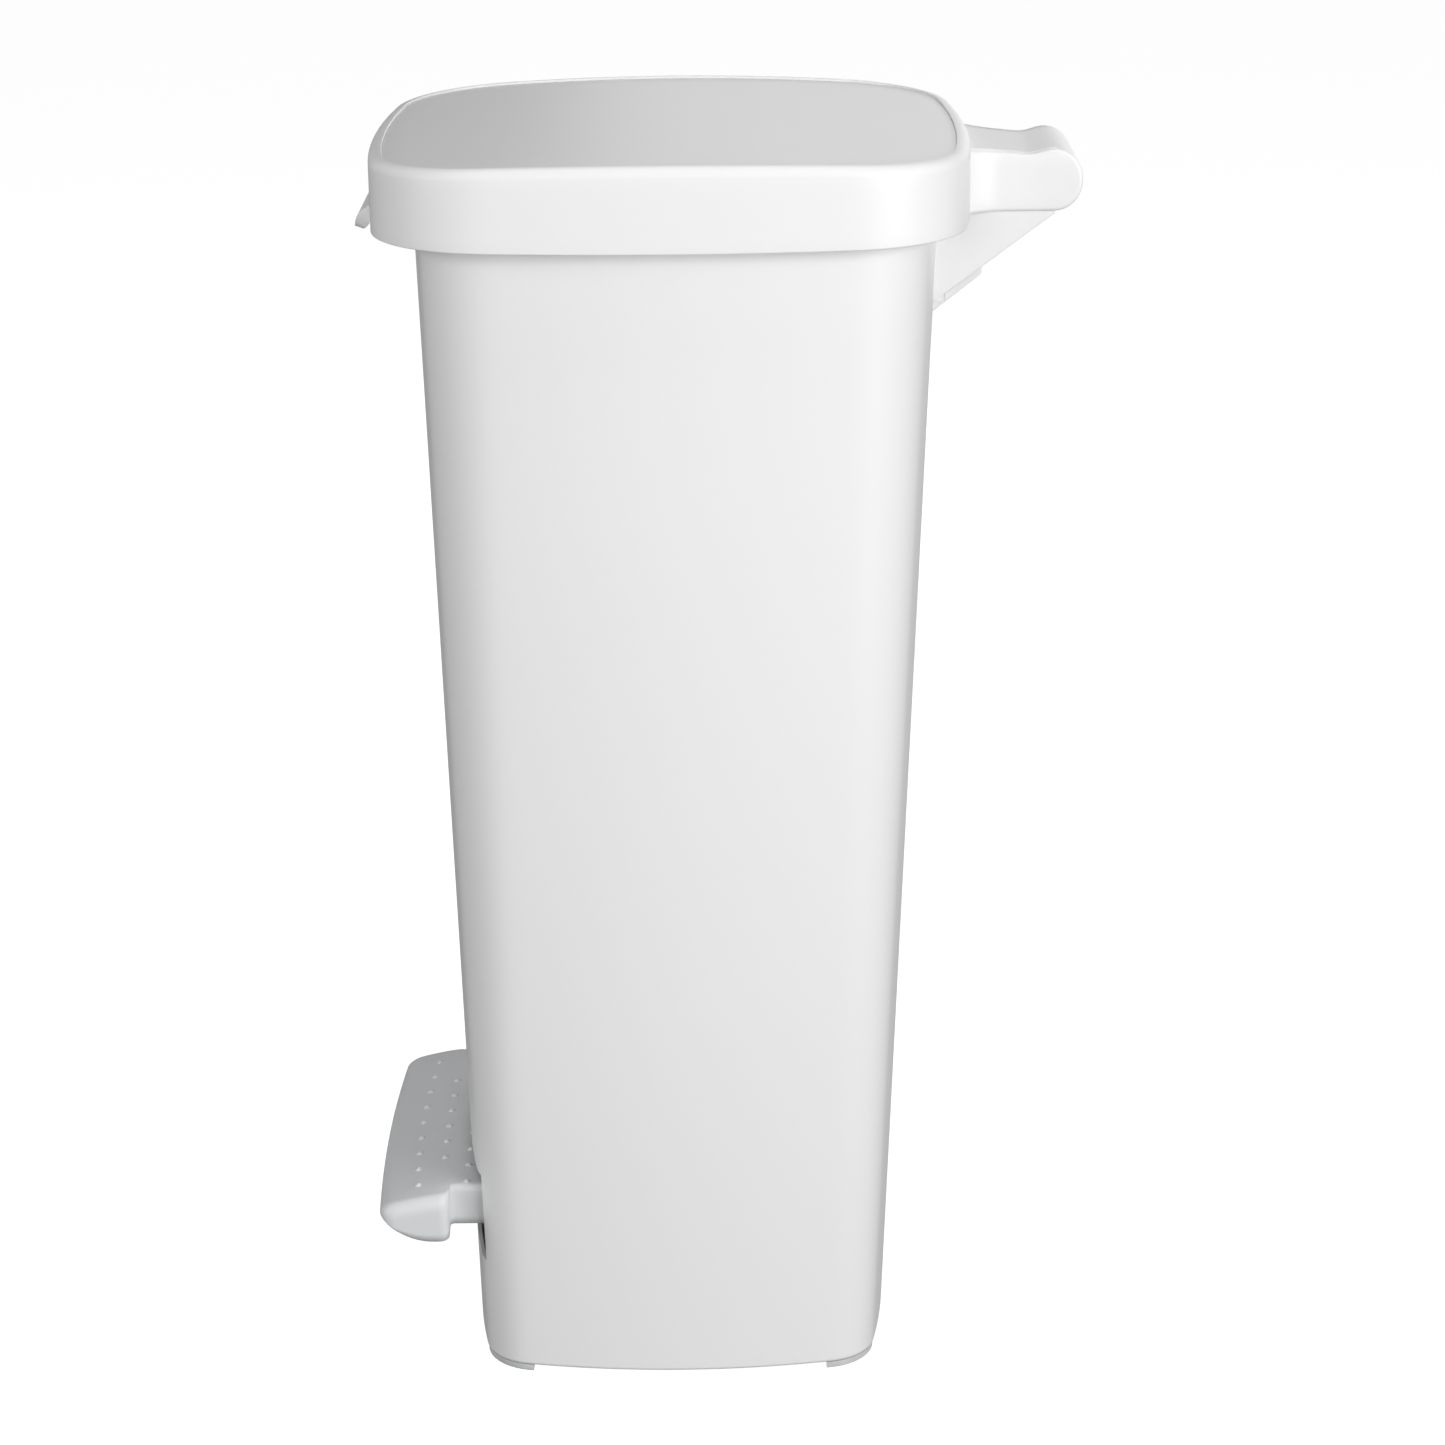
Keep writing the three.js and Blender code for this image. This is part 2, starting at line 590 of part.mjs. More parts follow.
function addLid() {
  const roundStart = BIN_HEIGHT - LID_RIM_ROUND;
  const roundSteps = 4;
  const roundRings = Array.from({ length: roundSteps }, (_, i) => {
    const angle = ((i + 1) / roundSteps) * (Math.PI / 2);
    return lidRing(LID_RIM_ROUND * (1 - Math.cos(angle)), roundStart + LID_RIM_ROUND * Math.sin(angle));
  });
  const outer = loft([
    lidRing(0, SKIRT_Z),
    lidRing(0, roundStart),
    ...roundRings,
    ...INNER_RINGS.map((shrink) => lidRing(LID_RIM_WIDTH, BIN_HEIGHT, shrink)),
  ]);
  const armFrontY = LID_PLAN.y + LID_PLAN.hy - LID_WALL * 2;
  const arm = prism(armProfile(armFrontY), -ARM_WIDTH / 2, ARM_WIDTH / 2);
  const bore = ARM_WIDTH / 2 - ARM_WALL + HINGE_BORE_DEPTH;
  const padY = HINGE_Y - ROD_LEVER;
  const ceilingZ = HINGE_Z + ARM_END_HEIGHT - ARM_DIP.drop - ARM_TOP_WALL;
  const hollowed = cut(
    join(outer, arm),
    lidBody(LID_WALL, SKIRT_Z - BEYOND / 4, ledgeUnderZ),
    lidBody(LID_RIM_WIDTH, ledgeTopZ, BIN_HEIGHT + BEYOND),
    lidBody(LID_RIM_WIDTH + LEDGE_WIDTH, ledgeUnderZ - BEYOND / 4, BIN_HEIGHT + BEYOND),
    armHollow(armFrontY - LID_WALL),
    crossBar(-bore, bore, HINGE_Y, HINGE_Z, HINGE_PIN_RADIUS + RUNNING_GAP),
  );
  const lid = join(
    hollowed,
    fingerTab(),
    bufferRib(-1),
    bufferRib(1),
    block(
      [-PAD_SIZE.x / 2, PAD_SIZE.x / 2],
      [padY - PAD_SIZE.y / 2, padY + PAD_SIZE.y / 2],
      [PAD_Z, ceilingZ + 1],
    ),
  );
  add("lid_shell", lid, "casing");
  add("lid_top_panel", lidBody(LID_RIM_WIDTH + GAP, panelUnderZ, panelTopZ), "casing");
}

function addLidBuffers() {
  for (const [name, side] of SIDES) {
    const [x, y] = bufferPlace(side);
    const stud = upBar(x, y, RIM_Z + GAP, RIM_Z + GAP + BUFFER_HEIGHT, BUFFER_RADIUS);
    add(`lid_buffer_${name}`, stud, "rubber");
  }
}

// ---------------------------------------------------------------- hinge bracket

const bushRadius = HINGE_PIN_RADIUS + RUNNING_GAP + BUSH_WALL;

function gusset(side) {
  const wall = rearY(GUSSET_FOOT_Z) - ROOT;
  const eyeAngle = THREE.MathUtils.degToRad(120);
  const shape = polygon([
    [wall, GUSSET_FOOT_Z - GUSSET_TOE * 2],
    [HINGE_Y + GUSSET_TOE, HINGE_Z - GUSSET_LOW],
    [HINGE_Y + GUSSET_TOE, HINGE_Z],
    [
      HINGE_Y + GUSSET_EYE_RADIUS * Math.cos(eyeAngle),
      HINGE_Z + GUSSET_EYE_RADIUS * Math.sin(eyeAngle),
    ],
    [rearY(RIM_Z) + HINGE_SETBACK / 3, BRACKET_TOP_Z + GUSSET_EYE_RADIUS],
    [wall, BRACKET_TOP_Z],
  ]);
  const xs = [side * GUSSET_INNER_X, side * GUSSET_OUTER_X].sort((a, b) => a - b);
  return cut(
    join(prism(shape, ...xs), crossBar(...xs, HINGE_Y, HINGE_Z, GUSSET_EYE_RADIUS)),
    crossBar(xs[0] - 1, xs[1] + 1, HINGE_Y, HINGE_Z, bushRadius + RUNNING_GAP),
  );
}

// The diagonal web under the bracket, between the gussets.
function bracketWeb() {
  const wall = rearY(GUSSET_FOOT_Z);
  const slope = (HINGE_Z - GUSSET_LOW - GUSSET_FOOT_Z) / (HINGE_Y - wall);
  const rise = BRACKET_WEB.length * slope;
  const rootDrop = ROOT * slope;
  const underZ = GUSSET_FOOT_Z - BRACKET_WEB.depth;
  const shape = polygon([
    [wall - ROOT, underZ - rootDrop],
    [wall + BRACKET_WEB.length - BRACKET_WEB.nose / 2, underZ + rise],
    [wall + BRACKET_WEB.length, underZ + rise + BRACKET_WEB.nose],
    [wall + BRACKET_WEB.length, GUSSET_FOOT_Z + rise - BRACKET_WEB.nose],
    [wall - ROOT, GUSSET_FOOT_Z + BRACKET_WEB.nose],
  ]);
  return prism(shape, -BRACKET_WEB.width / 2, BRACKET_WEB.width / 2);
}

function addBracket() {
  const plate = block(
    [-GUSSET_OUTER_X, GUSSET_OUTER_X],
    [BRACKET_FACE_Y - BEYOND / 2, BRACKET_FACE_Y],
    [GUSSET_FOOT_Z - BRACKET_WEB.depth, BRACKET_TOP_Z],
  );
  const bracket = cut(
    join(plate, gusset(-1), gusset(1), bracketWeb()),
    casingBody(-GAP, GUSSET_FOOT_Z - BEYOND, RIM_Z),
    rodSlot(),
    ...bracketScrews.map(([x, z]) =>
      screwHole([x, BRACKET_FACE_Y - BEYOND, z], [x, BRACKET_FACE_Y + 1, z]),
    ),
  );
  add("hinge_bracket", bracket, "casing");
}

function addHingePin() {
  const reach = ARM_WIDTH / 2 - ARM_WALL + HINGE_BORE_DEPTH - GAP;
  add("hinge_pin", crossBar(-reach, reach, HINGE_Y, HINGE_Z, HINGE_PIN_RADIUS), "steel");
  for (const [name, side] of SIDES) {
    const xs = [side * GUSSET_INNER_X, side * GUSSET_OUTER_X].sort((a, b) => a - b);
    const bush = cut(
      crossBar(...xs, HINGE_Y, HINGE_Z, bushRadius),
      crossBar(xs[0] - 1, xs[1] + 1, HINGE_Y, HINGE_Z, HINGE_PIN_RADIUS + RUNNING_GAP),
    );
    add(`hinge_bush_${name}`, bush, "nylon");
  }
}

// A screw with its head's underside at seat; the shank runs the other way from the head.
function screw(place, direction, shankLength) {
  const start = new THREE.Vector3(...place);
  const way = new THREE.Vector3(...direction);
  const headTop = start.clone().addScaledVector(way, SCREW_HEAD_HEIGHT);
  const tip = start.clone().addScaledVector(way, -shankLength);
  return join(
    bar(start.toArray(), headTop.toArray(), SCREW_HEAD_RADIUS, SCREW_SIDES),
    bar(tip.toArray(), headTop.toArray(), SCREW_RADIUS, SCREW_SIDES),
  );
}

function addBracketScrews() {
  bracketScrews.forEach(([x, z], index) => {
    const seat = [x, BRACKET_FACE_Y + GAP, z];
    const shank = BRACKET_FACE_Y - rearY(z) + CASING_WALL * 2;
    add(`bracket_screw_${index + 1}`, screw(seat, [0, 1, 0], shank), "steel");
  });
}

// ---------------------------------------------------------------- push rod

function addPushRod() {
  const footZ = LEVER_REAR_Z + ROD_FOOT_GAP;
  const topY = HINGE_Y - ROD_LEVER;
  const shoeTopZ = PAD_Z - GAP;
  const shoeZ = shoeTopZ - SHOE_HEIGHT;
  const foot = [0, rodY(footZ), footZ];
  const crank = [0, rodY(CRANK_Z), CRANK_Z];
  const turn = [0, topY, CRANK_Z];
  const tip = [0, topY, shoeZ + SHOE_SOCKET - GAP];
  const elbow = ([x, y, z]) =>
    solid(new THREE.SphereGeometry(ROD_RADIUS, ROUND_SIDES / 2, ROUND_SIDES / 4).translate(x, y, z));
  const rod = join(
    bar(foot, crank, ROD_RADIUS),
    elbow(crank),
    bar(crank, turn, ROD_RADIUS),
    elbow(turn),
    bar(turn, tip, ROD_RADIUS),
  );
  add("push_rod", rod, "steel");
  const shoe = cut(
    upBar(0, topY, shoeZ, shoeTopZ, SHOE_RADIUS),
    upBar(0, topY, shoeZ - 1, shoeZ + SHOE_SOCKET, ROD_RADIUS + RUNNING_GAP),
  );
  add("rod_shoe", shoe, "nylon");
}

function addRodGuides() {
  GUIDE_HEIGHTS.forEach((z, index) => {
    const low = z - GUIDE_HEIGHT / 2;
    const high = z + GUIDE_HEIGHT / 2;
    const shape = polygon([
      [rodY(low) - GUIDE_FRONT, low],
      [rearY(low, -CASING_WALL) - GAP, low],
      [rearY(high, -CASING_WALL) - GAP, high],
      [rodY(high) - GUIDE_FRONT, high],
    ]);
    const bore = bar(
      [0, rodY(low - 2), low - 2],
      [0, rodY(high + 2), high + 2],
      ROD_RADIUS + RUNNING_GAP,
    );
    const guide = cut(prism(shape, -GUIDE_WIDTH / 2, GUIDE_WIDTH / 2), bore);
    add(`rod_guide_${index + 1}`, guide, "nylon");
  });
}

// ---------------------------------------------------------------- pedal

// The pedal's profile as [distance in front of the front wall, height].
const PEDAL_PROFILE = [
  [-NECK_INSIDE, PEDAL_TOP_Z],
  [-NECK_INSIDE, PEDAL_TOP_Z - NECK_THICKNESS],
  [PEDAL_SKIRT_BACK, PEDAL_TOP_Z - NECK_THICKNESS],
  [PEDAL_SKIRT_BACK + 1, PEDAL_SKIRT_Z + 3],
  [PEDAL_SKIRT_BACK + 4.3, PEDAL_SKIRT_Z + 0.6],
  [PEDAL_SKIRT_BACK + 11.3, PEDAL_SKIRT_Z],
  [PEDAL_REACH - 22, PEDAL_SKIRT_Z + 1.6],
  [PEDAL_REACH - 15.6, PEDAL_SKIRT_Z + 5],
  [PEDAL_REACH - 9, PEDAL_SKIRT_Z + 9.5],
  [PEDAL_REACH - 2, PEDAL_SKIRT_Z + 14.7],
  [PEDAL_REACH, PEDAL_SKIRT_Z + 17],
  [PEDAL_REACH - 2, PEDAL_TOP_Z - 7.5],
  [PEDAL_REACH - 8, PEDAL_TOP_Z - 5.5],
  [PEDAL_REACH - 20, PEDAL_TOP_Z - 2.6],
  [PEDAL_REACH - PEDAL_SLOPE_LENGTH, PEDAL_TOP_Z],
];

// The pedal's plan: a bowed front edge with round corners, and a slightly narrower neck behind.
function pedalPlan() {
  const half = PEDAL_WIDTH / 2;
  const frontY = FRONT_WALL_Y - PEDAL_REACH;
  const endY = frontY + PEDAL_BOW;
  const skirtY = FRONT_WALL_Y - PEDAL_SKIRT_BACK;
  const backY = FRONT_WALL_Y + NECK_INSIDE + 1;
  const shape = new THREE.Shape();
  shape.moveTo(-NECK_WIDTH / 2, backY);
  shape.lineTo(-NECK_WIDTH / 2, skirtY);
  shape.lineTo(-half, skirtY);
  shape.lineTo(-half, endY + PEDAL_CORNER);
  shape.quadraticCurveTo(-half, endY + 1, -half + PEDAL_CORNER, endY);
  shape.quadraticCurveTo(0, frontY - PEDAL_BOW, half - PEDAL_CORNER, endY);
  shape.quadraticCurveTo(half, endY + 1, half, endY + PEDAL_CORNER);
  shape.lineTo(half, skirtY);
  shape.lineTo(NECK_WIDTH / 2, skirtY);
  shape.lineTo(NECK_WIDTH / 2, backY);
  const geometry = new THREE.ExtrudeGeometry(shape, {
    depth: PEDAL_TOP_Z + BEYOND,
    bevelEnabled: false,
    curveSegments: ROUND_SIDES / 2,
  });
  return solid(geometry);
}

const fromWall = (points) => polygon(points.map(([ahead, z]) => [FRONT_WALL_Y - ahead, z]));

// The pedal's hollow underside, from the rear end to the given distance in front of the wall.
function pedalHollow(from, to, halfWidth) {
  const ceiling = PEDAL_TOP_Z - PEDAL_WALL;
  const flatEnd = PEDAL_REACH - PEDAL_SLOPE_LENGTH;
  const drop = (ahead) => Math.max(0, ahead - flatEnd) * PEDAL_SLOPE;
  return prism(
    fromWall([
      [from, ceiling - drop(from)],
      [from, PEDAL_SKIRT_Z - BEYOND],
      [to, PEDAL_SKIRT_Z - BEYOND],
      [to, ceiling - drop(to)],
      ...(from < flatEnd && to > flatEnd ? [[flatEnd, ceiling]] : []),
    ]),
    -halfWidth,
    halfWidth,
  );
}

const pedalScrews = [-1, 1].map((side) => [
  (side * PEDAL_SCREW_SPACING) / 2,
  FRONT_WALL_Y + PEDAL_SCREW_Y,
]);

function addPedalPlate() {
  const skirtInside = PEDAL_SKIRT_BACK + PEDAL_WALL;
  const plate = cut(
    common(
      prism(fromWall(PEDAL_PROFILE), -PEDAL_WIDTH / 2, PEDAL_WIDTH / 2),
      pedalPlan(),
    ),
    pedalHollow(skirtInside, PEDAL_REACH - PEDAL_WALL * 2, PEDAL_WIDTH / 2 - PEDAL_WALL),
    pedalHollow(-NECK_INSIDE - 1, skirtInside + 1, NECK_WIDTH / 2 - PEDAL_WALL),
  );
  const bosses = pedalScrews.map(([x, y]) =>
    cut(
      upBar(x, y, LEVER_TOP_Z + GAP, PEDAL_TOP_Z - 1, SCREW_RADIUS * 2),
      screwHole([x, y, LEVER_TOP_Z - 1], [x, y, PEDAL_TOP_Z - PEDAL_WALL / 2]),
    ),
  );
  const holes = pedalScrews.map(([x, y]) =>
    screwHole([x, y, LEVER_TOP_Z], [x, y, PEDAL_TOP_Z - PEDAL_WALL / 2]),
  );
  add("pedal_plate", cut(join(plate, ...bosses), ...holes), "pedal");
}

function addPedalLever() {
  const frontY = FRONT_WALL_Y - LEVER_FRONT;
  const kneeY = FRONT_WALL_Y + NECK_INSIDE;
  const rearEnd = rodY(LEVER_REAR_Z) + ROD_RADIUS * 1.5;
  const underZ = LEVER_TOP_Z - LEVER_THICKNESS;
  const shape = polygon([
    [frontY, LEVER_TOP_Z],
    [frontY, underZ],
    [kneeY - LEVER_THICKNESS / 2, underZ],
    [PIVOT_Y - LEVER_BOSS_RADIUS, PIVOT_Z - LEVER_THICKNESS],
    [PIVOT_Y + LEVER_BOSS_RADIUS, PIVOT_Z - LEVER_THICKNESS],
    [rearEnd, LEVER_REAR_Z - LEVER_THICKNESS],
    [rearEnd, LEVER_REAR_Z],
    [PIVOT_Y + LEVER_BOSS_RADIUS * 1.5, LEVER_REAR_Z],
    [PIVOT_Y, PIVOT_Z + LEVER_BOSS_RADIUS],
    [kneeY, LEVER_TOP_Z],
  ]);
  const half = LEVER_WIDTH / 2;
  const lever = cut(
    join(
      prism(shape, -half, half),
      crossBar(-half, half, PIVOT_Y, PIVOT_Z, LEVER_BOSS_RADIUS),
    ),
    crossBar(-half - 1, half + 1, PIVOT_Y, PIVOT_Z, PIVOT_PIN_RADIUS + RUNNING_GAP),
    ...pedalScrews.map(([x, y]) =>
      screwHole([x, y, underZ - 1], [x, y, LEVER_TOP_Z + 1]),
    ),
  );
  add("pedal_lever", lever, "steel");
  pedalScrews.forEach(([x, y], index) => {
    const seat = [x, y, underZ - GAP];
    const shank = LEVER_THICKNESS + GAP * 2 + PEDAL_WALL / 2 - GAP;
    add(`pedal_screw_${index + 1}`, screw(seat, [0, 0, -1], shank), "steel");
  });
}

function addPivot() {
  const inner = LEVER_WIDTH / 2 + PIN_OVERHANG;
  const outer = inner + BLOCK_THICKNESS;
  const standZ = FLOOR_EDGE_Z + BASE_THICKNESS + GAP;
  for (const [name, side] of SIDES) {
    const xs = [side * inner, side * outer].sort((a, b) => a - b);
    const bearing = cut(
      block(
        xs,
        [PIVOT_Y - BLOCK_LENGTH / 2, PIVOT_Y + BLOCK_LENGTH / 2],
        [standZ, PIVOT_Z + BLOCK_ABOVE_PIVOT],
      ),
      crossBar(xs[0] - 1, xs[1] + 1, PIVOT_Y, PIVOT_Z, PIVOT_PIN_RADIUS + RUNNING_GAP),
      ...blockScrews(side).map(([x, y]) =>
        screwHole([x, y, standZ - 1], [x, y, standZ + BLOCK_SCREW_DEPTH + GAP]),
      ),
    );
    add(`pivot_block_${name}`, bearing, "nylon");
    blockScrews(side).forEach(([x, y], index) => {
      const seat = [x, y, FLOOR_EDGE_Z - GAP];
      const shank = standZ + BLOCK_SCREW_DEPTH - FLOOR_EDGE_Z + GAP;
      add(`pivot_screw_${name}_${index + 1}`, screw(seat, [0, 0, -1], shank), "steel");
    });
  }
  const reach = outer + PIN_OVERHANG;
  add("pivot_pin", crossBar(-reach, reach, PIVOT_Y, PIVOT_Z, PIVOT_PIN_RADIUS), "steel");
}

// A rubber strip on the slot's lower edge, where the pedal's neck lands when it is pressed.
function addSlotBuffer() {
  const low = SLOT_BOTTOM_Z + GAP;
  const high = low + SLOT_BUFFER_HEIGHT;
  const strip = common(
    cut(casingBody(0, low, high), casingBody(CASING_WALL, low - 1, high + 1)),
    block(
      [-SLOT_BUFFER_WIDTH / 2, SLOT_BUFFER_WIDTH / 2],
      [FRONT_WALL_Y - BEYOND, FRONT_WALL_Y + BEYOND],
      [low - 1, high + 1],
    ),
  );
  add("slot_buffer", strip, "rubber");
}

// ---------------------------------------------------------------- the whole bin

addCasing();
addBase();
addFeet();
addBucket();
addLid();
addLidBuffers();
addBracket();
addHingePin();
addBracketScrews();
addPushRod();
addRodGuides();
addPedalPlate();
addPedalLever();
addPivot();
addSlotBuffer();

// The origin is on the floor, midway between the pedal's front edge and the arm's rear.
bin.position.y = (FRONT_REACH - REAR_REACH) / 2;

export default bin;
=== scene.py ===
"""Pedal bin: the finished surfaces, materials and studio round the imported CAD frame.

Metres, +Z up. The pedal faces -Y, the lid's hinge is at +Y, and X runs across the bin.
"""

import json
import math

import bmesh
import bpy
import numpy as np
from bpy.props import FloatProperty, FloatVectorProperty, PointerProperty
from mathutils import Matrix, Vector

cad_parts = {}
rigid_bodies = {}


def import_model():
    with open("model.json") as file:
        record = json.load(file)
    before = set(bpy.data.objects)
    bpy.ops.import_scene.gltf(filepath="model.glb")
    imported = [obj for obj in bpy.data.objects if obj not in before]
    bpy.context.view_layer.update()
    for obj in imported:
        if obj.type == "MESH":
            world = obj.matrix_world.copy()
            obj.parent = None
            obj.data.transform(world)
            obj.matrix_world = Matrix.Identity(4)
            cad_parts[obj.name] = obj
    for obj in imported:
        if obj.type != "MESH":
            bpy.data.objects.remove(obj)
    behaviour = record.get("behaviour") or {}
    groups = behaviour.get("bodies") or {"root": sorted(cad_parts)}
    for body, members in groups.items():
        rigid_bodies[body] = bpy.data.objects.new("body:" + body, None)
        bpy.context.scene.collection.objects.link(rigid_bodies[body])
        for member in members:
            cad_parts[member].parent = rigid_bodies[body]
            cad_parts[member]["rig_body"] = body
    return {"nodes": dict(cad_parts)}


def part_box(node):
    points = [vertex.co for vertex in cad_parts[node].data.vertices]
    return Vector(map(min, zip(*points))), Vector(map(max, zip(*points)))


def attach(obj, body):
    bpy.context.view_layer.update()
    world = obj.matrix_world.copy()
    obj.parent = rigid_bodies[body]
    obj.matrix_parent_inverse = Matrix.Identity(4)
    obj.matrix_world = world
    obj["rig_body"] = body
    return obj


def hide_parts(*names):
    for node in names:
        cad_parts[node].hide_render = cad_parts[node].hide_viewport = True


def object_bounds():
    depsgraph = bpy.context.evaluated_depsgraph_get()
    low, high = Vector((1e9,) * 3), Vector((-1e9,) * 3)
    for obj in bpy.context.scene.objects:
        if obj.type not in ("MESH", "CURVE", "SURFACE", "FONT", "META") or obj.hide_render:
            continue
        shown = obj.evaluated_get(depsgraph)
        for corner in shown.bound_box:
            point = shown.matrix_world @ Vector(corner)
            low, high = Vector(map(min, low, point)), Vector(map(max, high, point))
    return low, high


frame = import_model()
CAD_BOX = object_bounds()

bl_info = {
    "name": "Pedal bin",
    "version": (1, 0, 0),
    "blender": (4, 5, 0),
    "location": "View3D > Sidebar > Pedal Bin",
    "description": "Builds the shells, lid, pedal, fittings and studio of a ward pedal bin",
    "category": "Add Mesh",
}

MM = 0.001
MERGE = 1e-6
SOFT_EDGE = 0.4 * MM
CLEARANCE = 0.3 * MM  # left between parts that touch

# ---------------------------------------------------------------- places taken from the frame

CASING_LOW, CASING_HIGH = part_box("outer_casing")
LID_LOW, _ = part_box("lid_shell")
_, PANEL_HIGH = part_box("lid_top_panel")
PEDAL_LOW, PEDAL_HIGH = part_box("pedal_plate")
_, BRACKET_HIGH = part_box("hinge_bracket")
BUCKET_LOW, BUCKET_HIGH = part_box("inner_bucket")
ROD_LOW, ROD_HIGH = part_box("push_rod")
SHOE_LOW, SHOE_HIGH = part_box("rod_shoe")
PIN_LOW, PIN_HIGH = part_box("hinge_pin")
_, FOOT_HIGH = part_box("foot_front_right")

EDGE_Z = CASING_LOW.z
RIM_Z = CASING_HIGH.z
MIDDLE_Y = (CASING_LOW.y + CASING_HIGH.y) / 2
HINGE_Y = (PIN_LOW.y + PIN_HIGH.y) / 2
HINGE_Z = (PIN_LOW.z + PIN_HIGH.z) / 2
SHOE_Y = (SHOE_LOW.y + SHOE_HIGH.y) / 2
LID_TOP_Z = CAD_BOX[1][2]
PANEL_THICK = 2.5 * MM
PANEL_UNDER_Z = PANEL_HIGH.z - PANEL_THICK


# ---------------------------------------------------------------- sizes and colours

def length(name, description, millimetres):
    """A length that a user may change, given in millimetres and kept in metres."""
    return FloatProperty(
        name=name, description=description, default=millimetres * MM, unit="LENGTH", precision=5
    )


def linear(code):
    """An sRGB hex colour as linear red, green and blue."""
    srgb = np.array([int(code[i : i + 2], 16) for i in (1, 3, 5)]) / 255
    return tuple(np.where(srgb <= 0.04045, srgb / 12.92, ((srgb + 0.055) / 1.055) ** 2.4))


def colour(name, description, code):
    """A colour that a user may change, given as sRGB hex."""
    return FloatVectorProperty(
        name=name, description=description, default=linear(code), subtype="COLOR", min=0, max=1
    )


class CasingSizes(bpy.types.PropertyGroup):
    """Sizes of the tapered casing and its feet."""

    wall: length("Wall", "Thickness of the casing", 2.5)
    flange: length("Rim flange", "How far the rim turns outwards under the lid", 8)
    bow_side: length("Side bow", "Bow of the sides at the rim", 20.3)
    bow_end: length("End bow", "Bow of the front and rear at the rim", 18)
    corner: length("Corner", "Corner radius at the rim", 48)
    base_half_x: length("Base half width", "Half the width at the lower edge", 115.3)
    base_half_y: length("Base half depth", "Half the depth at the lower edge", 115)
    base_forward: length("Base forward", "How far the lower edge's middle lies in front", 5.5)
    base_bow_side: length("Base side bow", "Bow of the sides at the lower edge", 16)
    base_bow_end: length("Base end bow", "Bow of the front and rear at the lower edge", 14.2)
    base_corner: length("Base corner", "Corner radius at the lower edge", 30)
    mouth_half: length("Pedal slot half width", "Half the width of the pedal's slot", 91)
    mouth_low: length("Pedal slot low", "Lower edge of the pedal's slot", 60)
    mouth_high: length("Pedal slot high", "Upper edge of the pedal's slot", 112)
    rod_half: length("Rod slot half width", "Half the width of the push rod's slot", 5)
    rod_low: length("Rod slot low", "Lower edge of the push rod's slot", 607)
    foot_inset: length("Foot inset", "Outer edge of a foot inside the casing's edge", 0.8)
    foot_width: length("Foot width", "Width of a foot's band", 14)
    foot_reach: length("Foot reach", "Length of a foot along each side of its corner", 34)


class BucketSizes(bpy.types.PropertyGroup):
    """Sizes of the lift-out bucket."""

    inset: length("Inset", "Outside of the bucket to the outside of the casing", 15.5)
    wall: length("Wall", "Thickness of the bucket", 2)
    flange_inset: length("Flange inset", "Edge of the bucket's flange inside the casing's rim", 1.2)
    slot_outer: length("Slot outer edge", "Finger slot's outer edge to the casing's rim", 5.5)
    slot_inner: length("Slot inner edge", "Finger slot's inner edge to the casing's rim", 12.5)
    slot_half: length("Slot half length", "Half the length of a finger slot", 40)


class LidSizes(bpy.types.PropertyGroup):
    """Sizes of the lid, its panel, its arm and its finger tab."""

    half_x: length("Half width", "Half the width of the lid", 147.5)
    half_y: length("Half depth", "Half the depth of the lid without its arm", 155.6)
    forward: length("Forward", "How far the lid's middle lies in front of the casing's", 2.7)
    bow_side: length("Side bow", "Bow of the lid's sides", 17.7)
    bow_end: length("End bow", "Bow of the lid's front and rear", 14.3)
    corner: length("Corner", "Corner radius of the lid", 68)
    height: length("Height", "Height of the lid's skirt and rim", 43.7)
    wall: length("Wall", "Thickness of the skirt", 2.5)
    crown: length("Crown", "Drop of the top towards the front and rear", 5.1)
    rim_width: length("Rim width", "Skirt's outside to the panel's recess", 7.2)
    rim_round: length("Rim round", "Radius of the rim's outer edge", 6)
    ledge: length("Ledge", "Width of the ledge that carries the panel", 7)
    arm_half: length("Arm half width", "Half the width of the rear arm", 38)
    arm_end_y: length("Arm end length", "Hinge axis to the rear of the arm", 14.5)
    arm_end_z: length("Arm end height", "Hinge axis to the arm's top", 16.1)
    arm_edge: length("Arm edge", "Rounding of the arm's outer edges", 2)
    arm_flare: length("Arm flare", "How far the arm widens where it meets the lid", 8)
    tab_half: length("Tab half width", "Half the width of the finger tab", 34)


class PedalSizes(bpy.types.PropertyGroup):
    """Sizes of the pedal's plate."""

    bow: length("Bow", "Bow of the front edge", 3)
    corner: length("Corner", "Radius of the front corners", 9)
    neck_half: length("Neck half width", "Half the width of the neck", 89)
    neck_depth: length("Neck depth", "Height of the neck's sides", 23)
    neck_inside: length("Neck inside", "How far the neck runs inside the casing", 22)
    skirt_back: length("Skirt back", "Casing's front to the rear of the skirt", 8.2)
    fold: length("Fold", "Height of the rounding between the top and the sides", 9)
    wall: length("Wall", "Thickness of the plate", 2.4)
    dot_radius: length("Dot radius", "Radius of a grip dot", 2.1)
    dot_height: length("Dot height", "Height of a grip dot", 1.4)
    dot_pitch: length("Dot pitch", "Spacing of the grip dots across the pedal", 21)


class BinColours(bpy.types.PropertyGroup):
    """Colours of the bin's finishes."""

    shell: colour("Shell", "Casing, lid and bracket", "#f3f3f3")
    bucket: colour("Bucket", "Lift-out bucket", "#e4e6e6")
    pedal: colour("Pedal", "Pedal plate", "#dfe1e2")
    nylon: colour("Nylon", "Guides, bushes and bearing blocks", "#e3e0d6")
    rubber: colour("Rubber", "Feet and buffers", "#d4d6d7")
    steel: colour("Steel", "Rod, pins, lever and screws", "#c3c7ca")
    floor: colour("Floor", "Studio floor", "#a2a2a2")


# ---------------------------------------------------------------- surfaces

